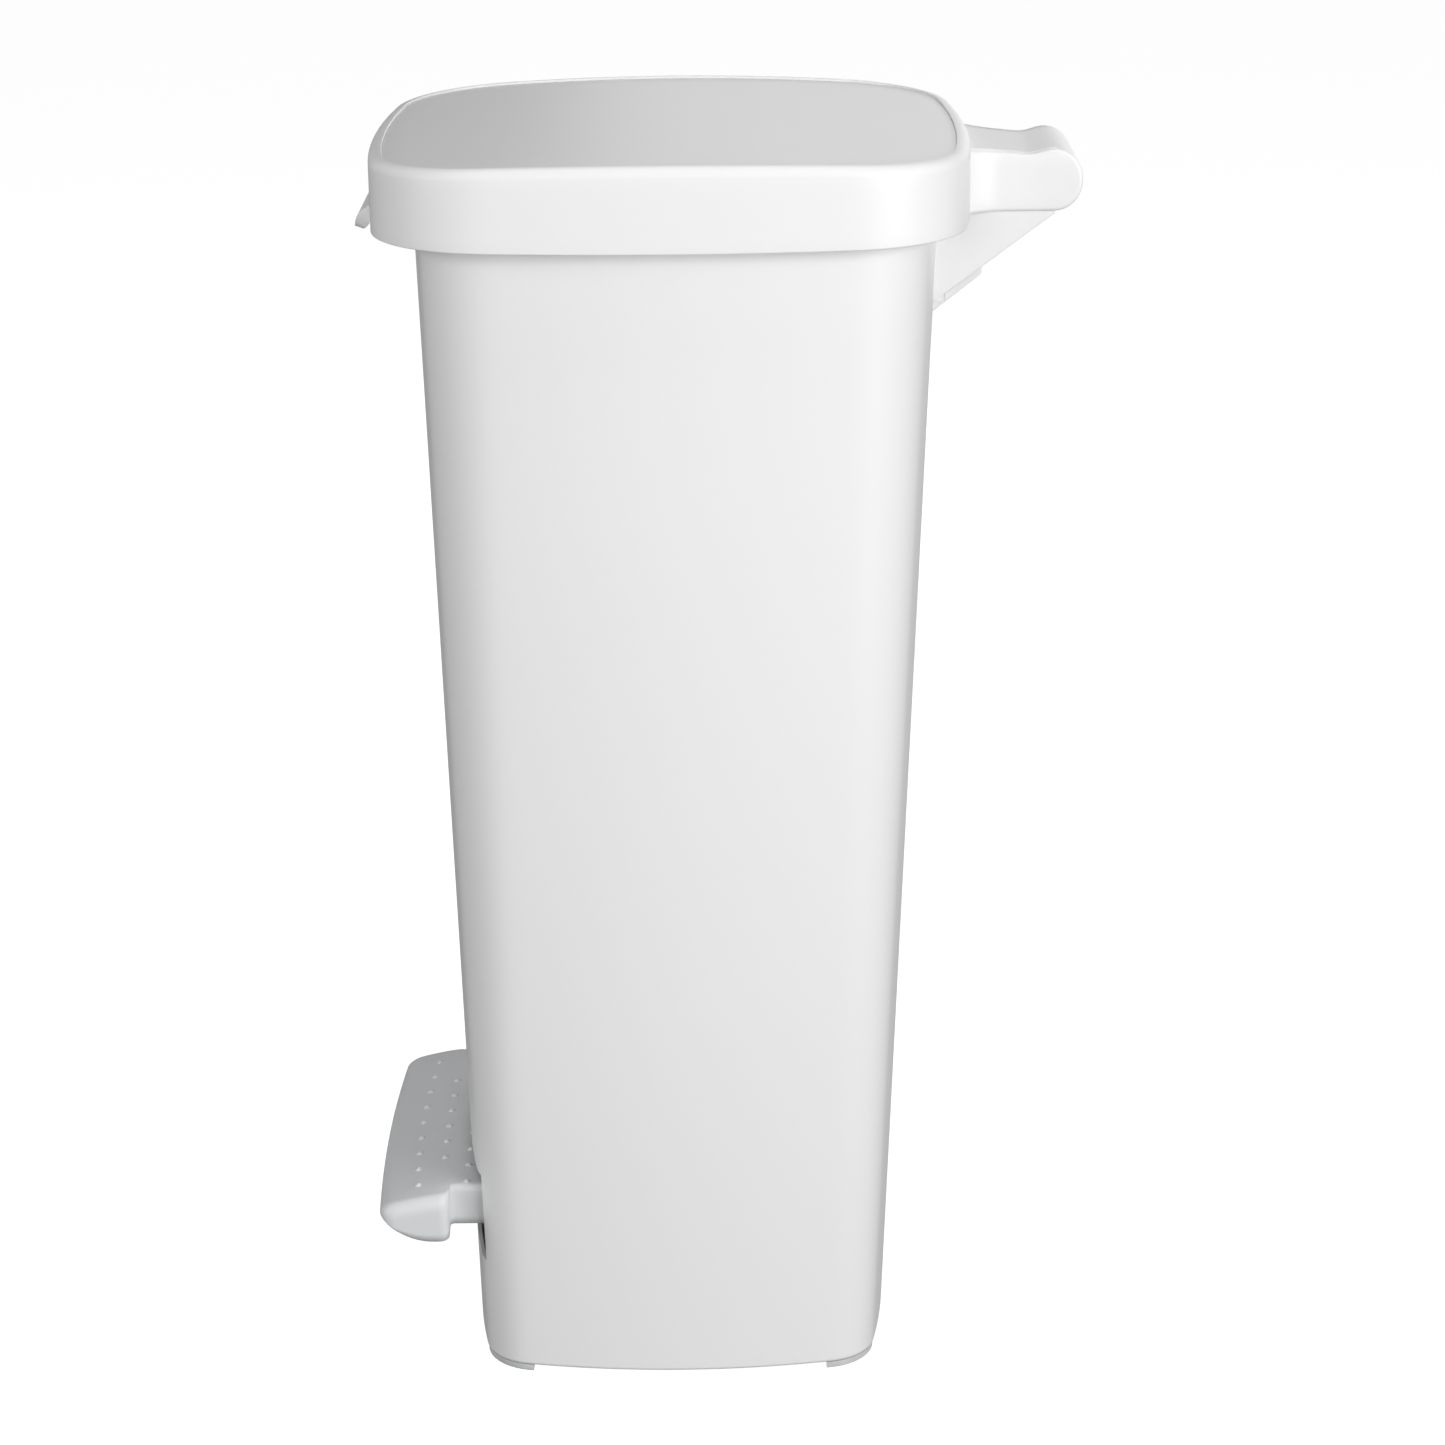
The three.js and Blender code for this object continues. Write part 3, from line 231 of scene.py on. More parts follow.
# Points on each arc of a quarter of a plan, between its stops.
ARC_STEPS = (6, 12, 8, 10, 18, 3)


def barrel_rings(plan, stops, inset, height, shrink=1.0):
    """Rings of a plan with bowed sides and round corners, one ring for each row.

    A side of half length h that bows by b is an arc of radius R = (h² + b²) / 2b about a point on
    its axis, and a corner is an arc of radius r tangent to both sides. Moving a ring inwards by
    inset takes inset off all three radii. Stops are the y on the sides, the x on the corners and
    the x on the ends where a column of points must stand. Shrink draws a ring to its middle.
    """
    rows = np.broadcast_arrays(inset, height, shrink, *(plan[key] for key in sorted(plan)))
    inset, height, shrink, *values = (np.atleast_1d(row).astype(float)[:, None] for row in rows)
    p = dict(zip(sorted(plan), values))
    radius_x = (p["half_y"] ** 2 + p["bow_side"] ** 2) / (2 * p["bow_side"])
    radius_y = (p["half_x"] ** 2 + p["bow_end"] ** 2) / (2 * p["bow_end"])
    centre_x = p["half_x"] - radius_x
    centre_y = p["half_y"] - radius_y
    span_x, span_y = radius_x - p["corner"], radius_y - p["corner"]
    apart = np.hypot(centre_x, centre_y)
    along = (apart**2 + span_x**2 - span_y**2) / (2 * apart)
    across = np.sqrt(span_x**2 - along**2)
    to_x, to_y = -centre_x / apart, centre_y / apart
    corner_x = centre_x + along * to_x - across * to_y
    corner_y = along * to_y + across * to_x
    angle_x = np.arctan2(corner_y, corner_x - centre_x)
    angle_y = np.arctan2(corner_y - centre_y, corner_x)
    side_stop = np.arcsin(stops[0] / (radius_x - inset))
    corner_cos = np.clip((stops[1] - corner_x) / (p["corner"] - inset), -1, 1)
    corner_stop = np.clip(np.arccos(corner_cos), angle_x, angle_y)
    end_stop = np.arccos(stops[2] / (radius_y - inset))
    half_turn = np.full_like(angle_y, math.pi / 2)

    def arc(x, y, radius, start, stop, steps):
        angle = start + (stop - start) * np.arange(steps) / steps
        reach = radius - inset
        return np.stack((x + reach * np.cos(angle), y + reach * np.sin(angle)), axis=-1)

    none = np.zeros_like(angle_x)
    arcs = (
        (centre_x, none, radius_x, none, side_stop),
        (centre_x, none, radius_x, side_stop, angle_x),
        (corner_x, corner_y, p["corner"], angle_x, corner_stop),
        (corner_x, corner_y, p["corner"], corner_stop, angle_y),
        (none, centre_y, radius_y, angle_y, end_stop),
        (none, centre_y, radius_y, end_stop, half_turn),
    )
    quarter = np.concatenate([arc(*form, n) for form, n in zip(arcs, ARC_STEPS)], axis=1)
    tip = np.stack((none, p["half_y"] - inset), axis=-1)
    upper = np.concatenate((quarter, tip, quarter[:, :0:-1] * (-1, 1)), axis=1)
    flat = np.concatenate((upper, quarter[:, :1] * (-1, 1), upper[:, :0:-1] * (1, -1)), axis=1)
    x = flat[..., 0] * shrink
    y = p["middle_y"] + flat[..., 1] * shrink
    return np.stack((x, y, np.broadcast_to(height, x.shape)), axis=-1)


def grid_faces(rows, columns, close_rows=False, close_columns=False, keep=None):
    """The four-sided faces of a grid of points, as point numbers, less the cells not kept."""
    r = np.arange(rows if close_rows else rows - 1)[:, None]
    c = np.arange(columns if close_columns else columns - 1)[None, :]
    ends = ((r, c), (r, c + 1), (r + 1, c + 1), (r + 1, c))
    faces = np.stack([(a % rows) * columns + b % columns for a, b in ends], axis=-1)
    return faces.reshape(-1, 4) if keep is None else faces[keep]


def grid_part(points, **closing):
    """A surface from a grid of points, as its points and its faces."""
    rows, columns = points.shape[:2]
    return points.reshape(-1, 3), grid_faces(rows, columns, **closing).tolist()


def run_of(found):
    """Numbers of the columns that are found, in order round the ring even across its start."""
    numbers = np.flatnonzero(found)
    gaps = np.flatnonzero(np.diff(numbers) > 1)
    return np.roll(numbers, -(gaps[0] + 1)) if gaps.size else numbers


def cut_window(points, keep, rows_a, rows_b, columns, open_start=False):
    """Clears the cells of a hole through two skins of a grid, and gives the faces of its jamb.

    Row rows_a[i] of one skin stands opposite row rows_b[i] of the other. An open start leaves the
    hole without a jamb along its first row, as where it runs out through an edge.
    """
    cells = columns[:-1]
    for rows in (rows_a, rows_b):
        keep[np.minimum(rows[:-1], rows[1:])[:, None], cells] = False
    if open_start:
        keep[-1, cells] = False
    up, over = np.arange(len(rows_a)), np.arange(len(columns))
    r = np.concatenate((up, np.full(len(over), up[-1]), up[::-1]))
    c = np.concatenate((0 * up, over, np.full(len(up), over[-1])))
    if not open_start:
        r, c = np.concatenate((r, 0 * over)), np.concatenate((c, over[::-1]))
    border = np.stack((points[rows_a[r], columns[c]], points[rows_b[r], columns[c]]))
    return grid_part(border)


def round_turn(centre, radius, start, stop, steps):
    """Points on an arc about a centre, from start to stop in degrees."""
    angle = np.radians(np.linspace(start, stop, steps + 1))
    return np.stack((centre[0] + radius * np.cos(angle), centre[1] + radius * np.sin(angle)), -1)


def inward(outline, distance, closed=True):
    """An outline moved to its left by distance, each point along the mean of its two normals."""
    before, after = np.roll(outline, 1, axis=0), np.roll(outline, -1, axis=0)
    if not closed:
        before[0], after[-1] = 2 * outline[0] - outline[1], 2 * outline[-1] - outline[-2]
    normals = []
    for run in (outline - before, after - outline):
        normal = np.stack((-run[:, 1], run[:, 0]), axis=-1)
        normals.append(normal / np.maximum(np.linalg.norm(normal, axis=1, keepdims=True), MERGE))
    mean = normals[0] + normals[1]
    return outline + distance * mean * 2 / np.maximum((mean**2).sum(1, keepdims=True), 0.5)


EDGE_STEPS = 3


def slab_part(outline, low, high, edge, axis=0):
    """A flat plate with rounded edges: an outline carried from low to high along one axis.

    Near each face the outline is drawn in by edge (1 - sin a) while the height changes by
    edge (1 - cos a), for a from nothing to a right angle, and each face is one flat polygon.
    """
    angle = np.linspace(0, math.pi / 2, EDGE_STEPS + 1)
    draw, rise = edge * (1 - np.sin(angle)), edge * (1 - np.cos(angle))
    levels = np.concatenate((low + rise, (high - rise)[::-1]))
    rings = [inward(outline, d) for d in np.concatenate((draw, draw[::-1]))]
    flat = np.stack(rings)
    third = np.broadcast_to(levels[:, None, None], flat.shape[:2] + (1,))
    points = np.roll(np.concatenate((third, flat), axis=-1), axis, axis=-1)
    rows, columns = points.shape[:2]
    last = (rows - 1) * columns
    faces = grid_faces(rows, columns, close_columns=True).tolist()
    faces += [list(range(columns)), list(range(last, last + columns))]
    return points.reshape(-1, 3), faces


def ribbon_part(outer, inner, across):
    """A bent strip: two matching paths in Y and Z as its faces, carried along X."""
    section = np.concatenate((outer, inner[::-1]))
    rows, count = len(across), len(section)
    x = np.broadcast_to(np.asarray(across)[:, None, None], (rows, count, 1))
    points = np.concatenate((x, np.broadcast_to(section, (rows, count, 2))), axis=-1)
    half = count // 2
    pairs = np.arange(half - 1)
    end = np.stack((pairs, pairs + 1, count - 2 - pairs, count - 1 - pairs), axis=-1)
    faces = grid_faces(rows, count, close_columns=True).tolist()
    return points.reshape(-1, 3), faces + end.tolist() + (end + (rows - 1) * count).tolist()


def tube_part(path, radius, sides=24):
    """A round bar along a path in Y and Z, with rounded ends.

    A ring about path point p is p + r (cos a X + sin a N), where N is square to X and the path.
    """
    run = np.gradient(path, axis=0)
    run /= np.linalg.norm(run, axis=1, keepdims=True)
    angle = np.linspace(0, math.pi / 2, EDGE_STEPS + 1)
    cap_r, cap_s = np.sin(angle), (1 - np.cos(angle))
    start = path[0] + run[0] * radius * cap_s[:, None] * 0.5
    stop = path[-1] - run[-1] * radius * cap_s[::-1, None] * 0.5
    spine = np.concatenate((start, path[1:-1], stop))
    runs = np.concatenate((run[:1].repeat(len(start), 0), run[1:-1], run[-1:].repeat(len(stop), 0)))
    scale = np.concatenate((cap_r, np.ones(len(path) - 2), cap_r[::-1])) * radius
    turn = np.linspace(0, 2 * math.pi, sides, endpoint=False)
    x = scale[:, None] * np.cos(turn)
    y = spine[:, :1] - runs[:, 1:] * scale[:, None] * np.sin(turn)
    z = spine[:, 1:] + runs[:, :1] * scale[:, None] * np.sin(turn)
    return grid_part(np.stack((x, y, z), axis=-1), close_columns=True)


def hermite(start, stop, slope_start, slope_stop, steps):
    """A cubic from start to stop, (y, z) each, that leaves and arrives at the given slopes."""
    t = np.linspace(0, 1, steps + 1)
    reach = stop[0] - start[0]
    z = (
        (2 * t**3 - 3 * t**2 + 1) * start[1]
        + (t**3 - 2 * t**2 + t) * slope_start * reach
        + (3 * t**2 - 2 * t**3) * stop[1]
        + (t**3 - t**2) * slope_stop * reach
    )
    return np.stack((start[0] + reach * t, z), axis=-1)


def straight(start, stop, steps):
    """Points on a straight line, both ends included."""
    return np.linspace(start, stop, steps + 1)


SHARP = math.radians(38)
BEVEL_FROM = math.radians(50)


def make_piece(name, parts, body, slot, material, *nodes, edge=0.0, wall=0.0):
    """A mesh piece from its parts: merged, faces outwards, finished, riding on its body."""
    starts = np.cumsum([0] + [len(points) for points, _ in parts])
    points = np.concatenate([points for points, _ in parts])
    faces = [[n + start for n in face] for (_, fs), start in zip(parts, starts) for face in fs]
    mesh = bpy.data.meshes.new(name)
    mesh.from_pydata(points, [], faces)
    work = bmesh.new()
    work.from_mesh(mesh)
    bmesh.ops.remove_doubles(work, verts=work.verts, dist=MERGE)
    bmesh.ops.dissolve_degenerate(work, edges=work.edges, dist=MERGE)
    bmesh.ops.recalc_face_normals(work, faces=work.faces)
    work.to_mesh(mesh)
    work.free()
    mesh.shade_smooth()
    mesh.set_sharp_from_angle(angle=SHARP)
    mesh.materials.append(material)
    piece = bpy.data.objects.new(name, mesh)
    bpy.context.scene.collection.objects.link(piece)
    if wall:
        shell = piece.modifiers.new("wall", "SOLIDIFY")
        shell.thickness, shell.offset = wall, -1
    if edge:
        rounding = piece.modifiers.new("edge", "BEVEL")
        rounding.width, rounding.segments = edge, 2
        rounding.limit_method, rounding.angle_limit = "ANGLE", BEVEL_FROM
        rounding.harden_normals = True
    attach(piece, body)
    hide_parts(*nodes)
    return piece


# ---------------------------------------------------------------- materials

def add_node(tree, kind, settings=None, links=None):
    """Adds a node, sets its sockets and settings, and links its inputs."""
    made = tree.nodes.new(kind)
    for name, value in (settings or {}).items():
        if name in made.inputs:
            made.inputs[name].default_value = value
        else:
            setattr(made, name, value)
    for name, source in (links or {}).items():
        tree.links.new(source, made.inputs[name])
    return made


def noise(tree, place, size, detail=2.0):
    """Noise whose marks are about size metres across."""
    return add_node(
        tree, "ShaderNodeTexNoise", {"Scale": 1 / size, "Detail": detail}, {"Vector": place}
    ).outputs["Fac"]


def spread(tree, value, low, high):
    """A value from 0 to 1 spread between low and high."""
    return add_node(
        tree, "ShaderNodeMapRange", {"To Min": low, "To Max": high}, {"Value": value}
    ).outputs["Result"]


def tinted(tree, value, base, low, high):
    """A base colour made lighter and darker by a value, between two strengths."""
    shade = spread(tree, value, low, high)
    mix = add_node(tree, "ShaderNodeVectorMath", {"operation": "SCALE"}, {"Scale": shade})
    mix.inputs[0].default_value = base
    return mix.outputs["Vector"]


def start_material(name):
    """A new material with its tree, its shader and the object's own coordinates."""
    material = bpy.data.materials.new(name)
    material.use_nodes = True
    tree = material.node_tree
    shader = tree.nodes["Principled BSDF"]
    place = add_node(tree, "ShaderNodeTexCoord").outputs["Object"]
    return material, tree, shader, place


def bumped(tree, shader, height, distance, strength=1.0):
    """Gives a shader a relief of the given height in metres."""
    bump = add_node(
        tree, "ShaderNodeBump", {"Distance": distance, "Strength": strength}, {"Height": height}
    )
    tree.links.new(bump.outputs["Normal"], shader.inputs["Normal"])


def moulded_plastic(name, base, roughness, ior=1.49, grain=1.1 * MM, relief=0.02 * MM):
    """Injection-moulded polypropylene with a spark-eroded satin texture.

    The eye gets a soft broad sheen, a fine even grain, and a faint cloudiness where the melt
    flowed. The real grain is about 0.1 mm; it is drawn about ten times coarser so that it shows.
    """
    material, tree, shader, place = start_material(name)
    flow = noise(tree, place, 90 * MM, 3.0)
    fine = noise(tree, place, grain, 2.0)
    tree.links.new(tinted(tree, flow, base, 0.985, 1.0), shader.inputs["Base Color"])
    tree.links.new(spread(tree, fine, roughness - 0.06, roughness + 0.06), shader.inputs["Roughness"])
    shader.inputs["IOR"].default_value = ior
    bumped(tree, shader, fine, relief)
    return material


def cast_nylon(name, base):
    """Moulded nylon, slightly waxy and cream, with soft mottling from moisture."""
    material, tree, shader, place = start_material(name)
    mottle = noise(tree, place, 8 * MM, 3.0)
    tree.links.new(tinted(tree, mottle, base, 0.93, 1.0), shader.inputs["Base Color"])
    tree.links.new(spread(tree, mottle, 0.3, 0.42), shader.inputs["Roughness"])
    shader.inputs["IOR"].default_value = 1.53
    bumped(tree, shader, noise(tree, place, 1.5 * MM), 0.01 * MM)
    return material


def moulded_rubber(name, base):
    """Moulded thermoplastic rubber: matt, with a dusty bloom and a coarse soft grain."""
    material, tree, shader, place = start_material(name)
    bloom = noise(tree, place, 12 * MM, 4.0)
    tree.links.new(tinted(tree, bloom, base, 0.8, 1.15), shader.inputs["Base Color"])
    tree.links.new(spread(tree, bloom, 0.75, 0.92), shader.inputs["Roughness"])
    shader.inputs["IOR"].default_value = 1.52
    bumped(tree, shader, noise(tree, place, 0.8 * MM), 0.05 * MM)
    return material


def plated_steel(name, base):
    """Bright zinc-plated steel: fine drawn streaks along its length and a faint blue bloom.

    Streaks are 0.5 mm wide and 40 mm long, made by squeezing the coordinates across the streak.
    """
    material, tree, shader, place = start_material(name)
    squeezed = add_node(
        tree, "ShaderNodeMapping", {"Scale": (1.0, 1.0, 0.0125)}, {"Vector": place}
    ).outputs["Vector"]
    streak = noise(tree, squeezed, 0.5 * MM, 3.0)
    tree.links.new(tinted(tree, streak, base, 0.85, 1.0), shader.inputs["Base Color"])
    tree.links.new(spread(tree, streak, 0.24, 0.4), shader.inputs["Roughness"])
    shader.inputs["Metallic"].default_value = 1.0
    bumped(tree, shader, streak, 0.01 * MM)
    return material


FLOOR_GLOW = 0.93  # the floor's own light; the lamps bring it up to white


def painted_floor(name, base):
    """A white light table for a studio floor: matt and even, lit from below, with a faint grain."""
    material, tree, shader, place = start_material(name)
    roller = noise(tree, place, 60 * MM, 2.0)
    tree.links.new(tinted(tree, roller, base, 0.995, 1.0), shader.inputs["Base Color"])
    shader.inputs["Roughness"].default_value = 0.9
    shader.inputs["Specular IOR Level"].default_value = 0.2
    shader.inputs["Emission Color"].default_value = (1, 1, 1, 1)
    shader.inputs["Emission Strength"].default_value = FLOOR_GLOW
    return material


MATERIAL_MAKERS = {
    "shell": lambda c: moulded_plastic("moulded_white_polypropylene", c, 0.42),
    "bucket": lambda c: moulded_plastic("moulded_natural_polypropylene", c, 0.36),
    "pedal": lambda c: moulded_plastic("moulded_grip_polypropylene", c, 0.48),
    "nylon": lambda c: cast_nylon("moulded_cream_nylon", c),
    "rubber": lambda c: moulded_rubber("moulded_pale_rubber", c),
    "steel": lambda c: plated_steel("drawn_zinc_plated_steel", c),
    "floor": lambda c: painted_floor("white_studio_floor_paint", c),
}


def finish(key):
    """The material for a finish, made once and then shared."""
    tag = "bin_finish_" + key
    for material in bpy.data.materials:
        if material.get("finish") == tag:
            return material
    material = MATERIAL_MAKERS[key](tuple(getattr(bpy.context.scene.pedal_bin.colours, key)))
    material["finish"] = tag
    return material


# ---------------------------------------------------------------- casing, feet and bucket

def casing_plan(z):
    """The casing's plan at height z, a straight blend from its lower edge to its rim."""
    s = bpy.context.scene.pedal_bin.casing
    t = np.clip((np.asarray(z, float) - EDGE_Z) / (RIM_Z - EDGE_Z), 0, 1)
    ends = {
        "half_x": (s.base_half_x, CASING_HIGH.x - s.flange),
        "half_y": (s.base_half_y, (CASING_HIGH.y - CASING_LOW.y) / 2 - s.flange),
        "middle_y": (MIDDLE_Y - s.base_forward, MIDDLE_Y),
        "bow_side": (s.base_bow_side, s.bow_side),
        "bow_end": (s.base_bow_end, s.bow_end),
        "corner": (s.base_corner, s.corner),
    }
    return {key: low + (high - low) * t for key, (low, high) in ends.items()}


def rear_wall(z, inset=0.0):
    """Y of the casing's rear wall in the middle, at height z."""
    plan = casing_plan(z)
    return plan["middle_y"] + plan["half_y"] - inset


def casing_stops():
    """Where the casing's columns must stand: finger slots, pedal slot and rod slot."""
    sizes = bpy.context.scene.pedal_bin
    return sizes.bucket.slot_half, sizes.casing.mouth_half, sizes.casing.rod_half


def casing_parts():
    """The casing's wall: a closed section of inset and height carried round the tapered plan.

    The outer skin rises from a rounded lower edge, turns out in a concave fillet to the rim's
    flange, and comes down again inside; the pedal's and the rod's slots go through both skins.
    """
    s = bpy.context.scene.pedal_bin.casing
    wall, flange = s.wall, s.flange
    rim_depth, rim_thick, fillet_r, foot_r = 7.5 * MM, 3.5 * MM, 3 * MM, 1.5 * MM
    top = RIM_Z - rim_depth
    edges = [s.mouth_low, s.mouth_high, s.rod_low]
    heights = np.unique(np.concatenate((np.linspace(EDGE_Z + 2 * MM, top, 12), edges)))
    lip = 0.8 * MM
    under = RIM_Z - rim_thick
    outer = np.stack((np.zeros_like(heights), heights), axis=-1)
    fillet = round_turn((-fillet_r, top), fillet_r, 0, 80, 5)[1:]
    flange_edge = round_turn((-flange + lip, RIM_Z - lip), lip, 180, 90, 3)
    inner_edge = round_turn((wall - lip, RIM_Z - lip), lip, 90, 0, 3)
    foot_outer = round_turn((foot_r, EDGE_Z + foot_r), foot_r, 270, 180, 3)
    section = np.concatenate((
        foot_outer,
        outer,
        fillet,
        [(-flange + lip, under), (-flange, under + lip)],
        flange_edge,
        inner_edge,
        np.stack((np.full_like(heights, wall), heights[::-1]), axis=-1),
        [(wall, EDGE_Z)],
    ))
    inset, z = section.T
    points = barrel_rings(casing_plan(z), casing_stops(), inset, z)
    keep = np.ones(points.shape[:2], bool)
    first = len(foot_outer)
    last = len(section) - 2
    spans = (
        (s.mouth_low, s.mouth_high, s.mouth_half, -1),
        (s.rod_low, top, s.rod_half, 1),
    )
    parts = []
    for low, high, half, side in spans:
        chosen = np.flatnonzero((heights > low - MERGE) & (heights < high + MERGE))
        ring = points[first + chosen[0]]
        ahead = side * (ring[:, 1] - MIDDLE_Y) > 0
        columns = run_of(ahead & (np.abs(ring[:, 0]) < half + MERGE))
        parts.append(cut_window(points, keep, first + chosen, last - chosen, columns))
    parts.append(grid_part(points, close_rows=True, close_columns=True, keep=keep))
    return parts


def foot_part(side, end):
    """One foot: a rounded band section carried round a corner of the casing's lower edge."""
    s = bpy.context.scene.pedal_bin.casing
    plan = casing_plan(EDGE_Z)
    low, high = s.foot_inset, s.foot_inset + s.foot_width
    top, round_off = FOOT_HIGH.z, 1 * MM
    section = np.concatenate((
        round_turn((low + round_off, round_off), round_off, 180, 270, 3),
        round_turn((high - round_off, round_off), round_off, 270, 360, 3),
        [(high, top), (low, top)],
    ))
    start_y, start_x = plan["half_y"] - s.foot_reach, plan["half_x"] - s.foot_reach
    stops = (start_y, start_x + s.foot_reach / 2, start_x)
    rings = barrel_rings(plan, stops, section[:, 0], section[:, 1])
    points = rings[:, ARC_STEPS[0] : sum(ARC_STEPS[:5]) + 1].copy()
    points[..., 0] *= side
    points[..., 1] = plan["middle_y"] + end * (points[..., 1] - plan["middle_y"])
    rows, columns = points.shape[:2]
    flat, faces = grid_part(points, close_rows=True)
    ends = np.arange(rows) * columns
    return flat, faces + [ends.tolist(), (ends + columns - 1).tolist()]


def bucket_parts():
    """The bucket: a section of inset, height and shrink carried round the casing's plan.

    It runs from the middle of the underside out to a round corner, up the wall, out under the
    flange, back over it and down inside to the middle of the floor.
    """
    s = bpy.context.scene.pedal_bin.bucket
    floor_z, top = BUCKET_LOW.z, BUCKET_HIGH.z
    under = RIM_Z + CLEARANCE
    corner, soft = 8 * MM, 0.8 * MM
    outer, inner = s.inset, s.inset + s.wall
    flange = [s.flange_inset + soft, s.slot_outer, s.slot_inner]
    heights = np.linspace(floor_z + corner, under - soft, 8)

    def rows(insets, zs, shrink=1.0):
        return np.stack(np.broadcast_arrays(insets, zs, shrink), axis=-1).astype(float)

    outer_turn = round_turn((outer + corner, floor_z + corner), corner, 270, 180, 5)[:-1]
    inner_turn = round_turn((inner + corner, floor_z + s.wall + corner), corner, 180, 270, 5)[1:]
    section = np.concatenate((
        rows(outer + corner, floor_z, np.linspace(0, 0.97, 6)),
        rows(outer_turn[:, 0], outer_turn[:, 1]),
        rows(outer, heights),
        rows([outer - soft, *flange[::-1]], under),
        rows([s.flange_inset] * 2, [under + soft, top - soft]),
        rows([*flange, inner - soft], top),
        rows(inner, heights[::-1]),
        rows(inner_turn[:, 0], inner_turn[:, 1]),
        rows(inner + corner, floor_z + s.wall, np.linspace(0.97, 0, 6)),
    ))
    inset, z, shrink = section.T
    points = barrel_rings(casing_plan(z), casing_stops(), inset, z, shrink)
    keep = np.ones((len(section) - 1, points.shape[1]), bool)
    in_slot = (inset > s.slot_outer - MERGE) & (inset < s.slot_inner + MERGE)
    chosen = [np.flatnonzero(in_slot & np.isclose(z, level)) for level in (top, under)]
    parts = []
    for side in (1, -1):
        ring = points[chosen[0][0]]
        beside = (side * ring[:, 0] > 0) & (np.abs(ring[:, 1] - MIDDLE_Y) < s.slot_half + MERGE)
        parts.append(cut_window(points, keep, chosen[0], chosen[1][::-1], run_of(beside)))
    parts.append(grid_part(points, close_columns=True, keep=keep))
    return parts


# ---------------------------------------------------------------- lid

def lid_rings(inset, z, shrink=1.0):
    """Rings of the lid's plan, with the crown's drop c f (y / h)²; f goes from 0 at the skirt to 1."""
    s = bpy.context.scene.pedal_bin.lid
    middle = MIDDLE_Y - s.forward
    plan = {
        "half_x": s.half_x,
        "half_y": s.half_y,
        "middle_y": middle,
        "bow_side": s.bow_side,
        "bow_end": s.bow_end,
        "corner": s.corner,
    }
    stops = (s.half_y / 3, s.half_x - s.corner / 2, s.arm_half - s.wall)
    points = barrel_rings(plan, stops, inset, z, shrink)
    fade = (points[..., 2] - (LID_TOP_Z - s.height)) / s.height
    points[..., 2] -= s.crown * fade * ((points[..., 1] - middle) / s.half_y) ** 2
    return points


def lid_shell_parts():
    """The lid's rim, skirt and ledge: a closed section of inset and height carried round its plan."""
    s = bpy.context.scene.pedal_bin.lid
    top, skirt = LID_TOP_Z, LID_TOP_Z - s.height
    soft, fillet, ledge_thick, jamb_height = 0.8 * MM, 3 * MM, 2 * MM, 29.2 * MM
    ledge_top = PANEL_UNDER_Z - CLEARANCE
    ledge_under = ledge_top - ledge_thick
    shoulder = top - s.rim_round
    arm_roof = skirt + jamb_height
    sides = np.linspace(skirt + soft, arm_roof, 6)
    end = s.rim_width + s.ledge
    outer_foot = round_turn((soft, skirt + soft), soft, 260, 190, 2)
    inner_foot = round_turn((s.wall - soft, skirt + soft), soft, 350, 280, 2)
    section = np.concatenate((
        outer_foot,
        np.stack((np.zeros_like(sides), sides), axis=-1),
        round_turn((s.rim_round, shoulder), s.rim_round, 180, 90, 10),
        round_turn((s.rim_width - soft / 2, top - soft / 2), soft / 2, 90, 0, 3),
        [(s.rim_width, ledge_top), (end, ledge_top), (end, ledge_under)],
        round_turn((s.wall + fillet, ledge_under - fillet), fillet, 90, 180, 4),
        np.stack((np.full_like(sides, s.wall), sides[::-1]), axis=-1),
        inner_foot,
    ))
    points = lid_rings(*section.T)
    keep = np.ones(points.shape[:2], bool)
    count = len(outer_foot) + len(sides)
    rows_a = np.arange(count)
    rows_b = len(section) - 1 - rows_a
    ring = points[0]
    behind = (ring[:, 1] > MIDDLE_Y) & (np.abs(ring[:, 0]) < s.arm_half - s.wall + MERGE)
    jamb = cut_window(points, keep, rows_a, rows_b, run_of(behind), open_start=True)
    return [jamb, grid_part(points, close_rows=True, close_columns=True, keep=keep)]


def panel_part():
    """The lid's crowned top panel, with a softly rounded edge."""
    s = bpy.context.scene.pedal_bin.lid
    low, high = PANEL_UNDER_Z, PANEL_HIGH.z
    seam, soft, rings = 0.15 * MM, 0.4 * MM, 13
    edge = s.rim_width + seam
    shrinks = np.linspace(0, 1, rings)
    rounding = round_turn((edge + soft, high - soft), soft, 180, 90, 4)
    inset = np.concatenate((np.full(rings, edge), rounding[:, 0], np.full(rings - 1, edge + soft)))
    z = np.concatenate((np.full(rings, low), rounding[:, 1], np.full(rings - 1, high)))
    shrink = np.concatenate((shrinks, np.ones(len(rounding)), shrinks[-2::-1]))
    return grid_part(lid_rings(inset, z, shrink), close_columns=True)


def lid_front_y():
    """Y of the lid's skirt at the front, in the middle."""
    s = bpy.context.scene.pedal_bin.lid
    return MIDDLE_Y - s.forward - s.half_y


def arm_top_path():
    """The arm's top edge in Y and Z: level, a shallow dip, then a rise to its rounded end."""
    s = bpy.context.scene.pedal_bin.lid
    inside, root_rise, dip_ahead, dip_rise = 2.2 * MM, 16.7 * MM, 15 * MM, 13.5 * MM
    start = (lid_rear_y() - inside, HINGE_Z + root_rise)
    dip = (HINGE_Y - dip_ahead, HINGE_Z + dip_rise)
    crest = (HINGE_Y, HINGE_Z + s.arm_end_z)
    slope = (dip[1] - start[1]) / (dip[0] - start[0])
    return np.concatenate((straight(start, dip, 12)[:-1], hermite(dip, crest, slope, 0, 10)))


